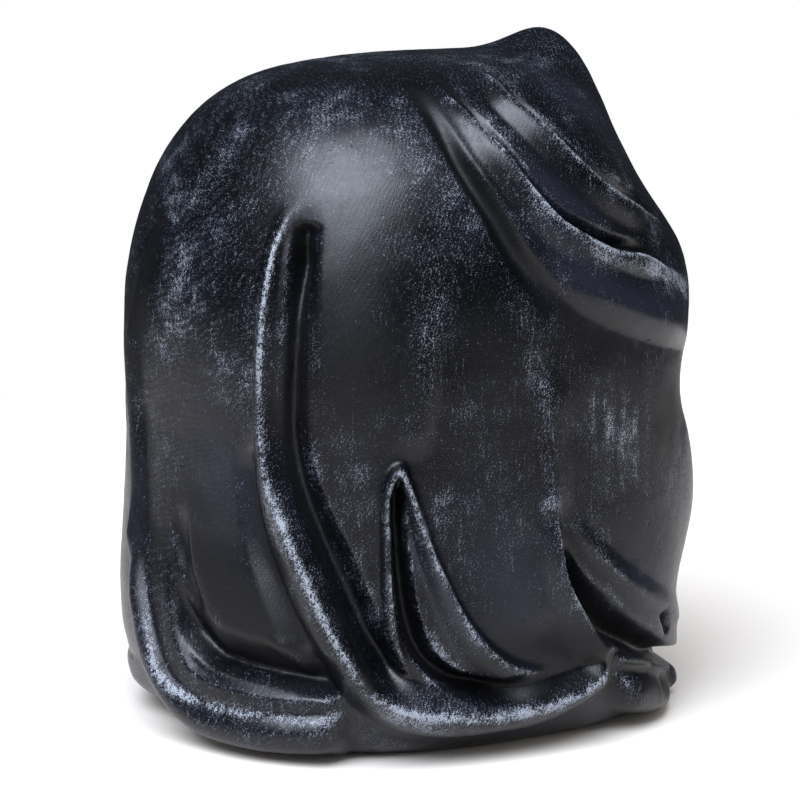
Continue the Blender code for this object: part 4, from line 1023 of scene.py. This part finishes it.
def makePaint():
    material = bpy.data.materials.new("blackDryBrushedPaint")
    material.use_nodes = True
    tree = material.node_tree
    shader = tree.nodes["Principled BSDF"]
    place = node(tree, "ShaderNodeTexCoord").outputs["Object"]
    brush, paintedShade, smoothPaintedSheen, crest, bone = (lookOf(tree, name) for name in
                                       ("brush", "paintedShade", "smoothPaintedSheen", "crest", "bone"))
    speck = noise(tree, place, paint["speck"], 2.5, 0.62)
    fine = noise(tree, place, paint["fine"], 2.0, 0.55)
    patch = noise(tree, place, paint["patch"], 3.0, 0.6)
    cloud = noise(tree, place, paint["cloud"], 2.0, 0.5)

    # Rows left by the carving, bent a little, which break the brushed paint into dashes.
    bend = node(tree, "ShaderNodeTexNoise", {"Vector": place, "Scale": 62.0, "Detail": 1.0})
    swing = node(tree, "ShaderNodeVectorMath", {0: bend.outputs["Color"],
                 1: (paint["rowBend"],) * 3, 2: place}, operation="MULTIPLY_ADD").outputs[0]
    along = node(tree, "ShaderNodeVectorMath", {0: swing, 1: paint["rowWay"]},
                 operation="DOT_PRODUCT").outputs["Value"]
    rows = maths(tree, "SINE", maths(tree, "MULTIPLY", along, 2 * math.pi / paint["rowStep"]))

    # Upright streaks and slanting scratches.
    drawn = stretched(tree, place, (0, 0, 0), (1, 1, 0.11))
    upright = noise(tree, drawn, paint["uprightStreak"], 1.5, 0.5)
    drawn = stretched(tree, place, (0.5, 0.9, 0.4), (1, 0.07, 1))
    slanted = noise(tree, drawn, paint["slantedScratch"], 1.0, 0.5)

    # How much pale paint lies here: dust all over, strokes and crests, less on the smoother paint
    # of the painted sheen, and none in the painted shade of the hollows.
    dust = maths(tree, "MULTIPLY", spread(tree, cloud, 0.34, 0.66), spread(tree, patch, 0.25, 0.70))
    uneven = spread(tree, fine, 0.25, 0.70, 0.45, 1.2)
    high = maths(tree, "MAXIMUM", crest, 0.0)
    low = maths(tree, "MINIMUM", crest, 0.0)
    amount = added(tree, dust, paint["dust"], paint["dustLeast"])
    amount = added(tree, smoothPaintedSheen, paint["onSmoothPaintedSheen"], amount)
    strokes = maths(tree, "MULTIPLY", brush, uneven)
    amount = added(tree, strokes, paint["strokes"], amount)
    crests = maths(tree, "MULTIPLY", high, uneven)
    amount = added(tree, crests, paint["crests"], amount)
    amount = added(tree, low, paint["creases"], amount)
    amount = added(tree, bone, paint["bone"], amount)
    amount = added(tree, paintedShade, paint["inPaintedShade"], amount)
    grain = added(tree, speck, paint["grainGain"], paint["grainBase"])
    grain = added(tree, rows, paint["rows"], grain)
    streaks = spread(tree, upright, 0.52, 0.74)
    grain = added(tree, streaks, paint["upright"], grain)
    scratches = spread(tree, slanted, 0.58, 0.78)
    grain = added(tree, scratches, paint["slanted"], grain)
    field = maths(tree, "ADD", maths(tree, "ADD", amount, grain), paint["fleckStart"])
    flecks = spread(tree, field, 0.0, paint["fleckFade"])

    paleTone = blend(tree, spread(tree, amount, 0.15, 0.60), paint["paleDull"], paint["pale"])
    ground = blend(tree, spread(tree, cloud, 0.36, 0.62), paint["black"], paint["middle"])
    # The smoother paint is painted lighter: a painted sheen.
    ground = blend(tree, smoothPaintedSheen, ground, paint["smoothPaintedSheen"])
    # The hollows are painted darker than the black: painted shade.
    hollow = maths(tree, "MULTIPLY", paintedShade, paint["paintedShadeDarkness"])
    ground = blend(tree, hollow, ground, paint["hollow"])
    tree.links.new(blend(tree, flecks, ground, paleTone), shader.inputs["Base Color"])
    rough = spread(tree, fine, 0.2, 0.8, 0.28, 0.37)
    rough = added(tree, flecks, paint["fleckRoughness"], rough)
    rough = added(tree, paintedShade, paint["paintedShadeRoughness"], rough)
    tree.links.new(rough, shader.inputs["Roughness"])
    shader.inputs["Specular IOR Level"].default_value = paint["specular"]
    shader.inputs["Metallic"].default_value = 0.0

    # The finest relief: rows, grain and a few pits.
    pits = spread(tree, noise(tree, place, paint["pit"], 1.0, 0.5), 0.24, 0.30)
    relief = added(tree, rows, 0.08, speck)
    relief = added(tree, pits, 1.2, relief)
    skin = node(tree, "ShaderNodeBump", {"Height": relief, "Strength": paint["reliefStrength"],
                                         "Distance": paint["reliefDepth"]})
    tree.links.new(skin.outputs["Normal"], shader.inputs["Normal"])
    return material


piece.data.materials.clear()
piece.data.materials.append(makePaint())
bpy.ops.object.select_all(action="DESELECT")
piece.select_set(True)
bpy.ops.object.shade_smooth()
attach(piece, "root")
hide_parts("hooded_skull")
print("painted")

# The floor, the light and the camera.
studio = {
    "floorSize": 0.72,
    "floorTone": (0.53, 0.50, 0.46, 1),
    "floorRoughness": 0.30,
    "floorSpecular": 0.35,
    "aroundTone": (0.72, 0.84, 1.0, 1),
    "aroundGlow": 0.06,         # what shines in the paint
    "aroundFill": 1.1,          # what lights the floor
    "sunTone": (0.90, 0.96, 1.10),
    "sunStrength": 8.6,
    "sunWidth": 50,             # degrees, as wide as a soft box close above
    "sunFrom": (-0.31, 0.48, 0.82),
    "azimuth": 235,
    "elevation": 11.5,
    "lens": 200,
    "film": 36,                 # width in millimetres
    "pixelsPerMetre": 4300,
    "frame": 800,
    "target": (0.0009, -0.0067, 0.0703),
    "shift": (-7 / 800, 0.5 / 800),
}

bpy.ops.mesh.primitive_plane_add(size=studio["floorSize"], location=(0, 0, 0))
floor = bpy.context.object
floor.name = "floor"
floorPaint = bpy.data.materials.new("paleFloor")
floorPaint.use_nodes = True
floorShader = floorPaint.node_tree.nodes["Principled BSDF"]
floorShader.inputs["Base Color"].default_value = studio["floorTone"]
floorShader.inputs["Roughness"].default_value = studio["floorRoughness"]
floorShader.inputs["Specular IOR Level"].default_value = studio["floorSpecular"]
floor.data.materials.append(floorPaint)

scene = bpy.context.scene
scene.view_settings.view_transform = "Standard"
scene.view_settings.look = "None"
around = bpy.data.worlds.new("softRoom")
scene.world = around
around.use_nodes = True
tree = around.node_tree
glow = tree.nodes["Background"]
glow.inputs["Color"].default_value = studio["aroundTone"]
glow.inputs["Strength"].default_value = studio["aroundGlow"]
fill = node(tree, "ShaderNodeBackground", {"Color": (1, 1, 1, 1), "Strength": studio["aroundFill"]})
white = node(tree, "ShaderNodeBackground", {"Color": (1, 1, 1, 1), "Strength": 1.0})
ray = node(tree, "ShaderNodeLightPath")
lit = node(tree, "ShaderNodeMixShader", {0: ray.outputs["Is Diffuse Ray"], 1: glow.outputs[0],
                                         2: fill.outputs[0]})
seen = node(tree, "ShaderNodeMixShader", {0: ray.outputs["Is Camera Ray"], 1: lit.outputs[0],
                                          2: white.outputs[0]})
tree.links.new(seen.outputs[0], tree.nodes["World Output"].inputs["Surface"])

bpy.ops.object.light_add(type="SUN", location=(0, 0, 1))
sun = bpy.context.object
sun.data.energy = studio["sunStrength"]
sun.data.color = studio["sunTone"]
sun.data.angle = math.radians(studio["sunWidth"])
sun.rotation_euler = Vector(studio["sunFrom"]).to_track_quat("Z", "Y").to_euler()

azimuth = math.radians(studio["azimuth"])
elevation = math.radians(studio["elevation"])
back = Vector((math.sin(azimuth) * math.cos(elevation), -math.cos(azimuth) * math.cos(elevation),
               math.sin(elevation)))
away = studio["frame"] / studio["pixelsPerMetre"] * studio["lens"] / studio["film"]
bpy.ops.object.camera_add(location=Vector(studio["target"]) + back * away)
camera = bpy.context.object
camera.rotation_euler = back.to_track_quat("Z", "Y").to_euler()
camera.data.lens = studio["lens"]
camera.data.sensor_width = studio["film"]
camera.data.shift_x, camera.data.shift_y = studio["shift"]
scene.camera = camera
print("lit and framed")
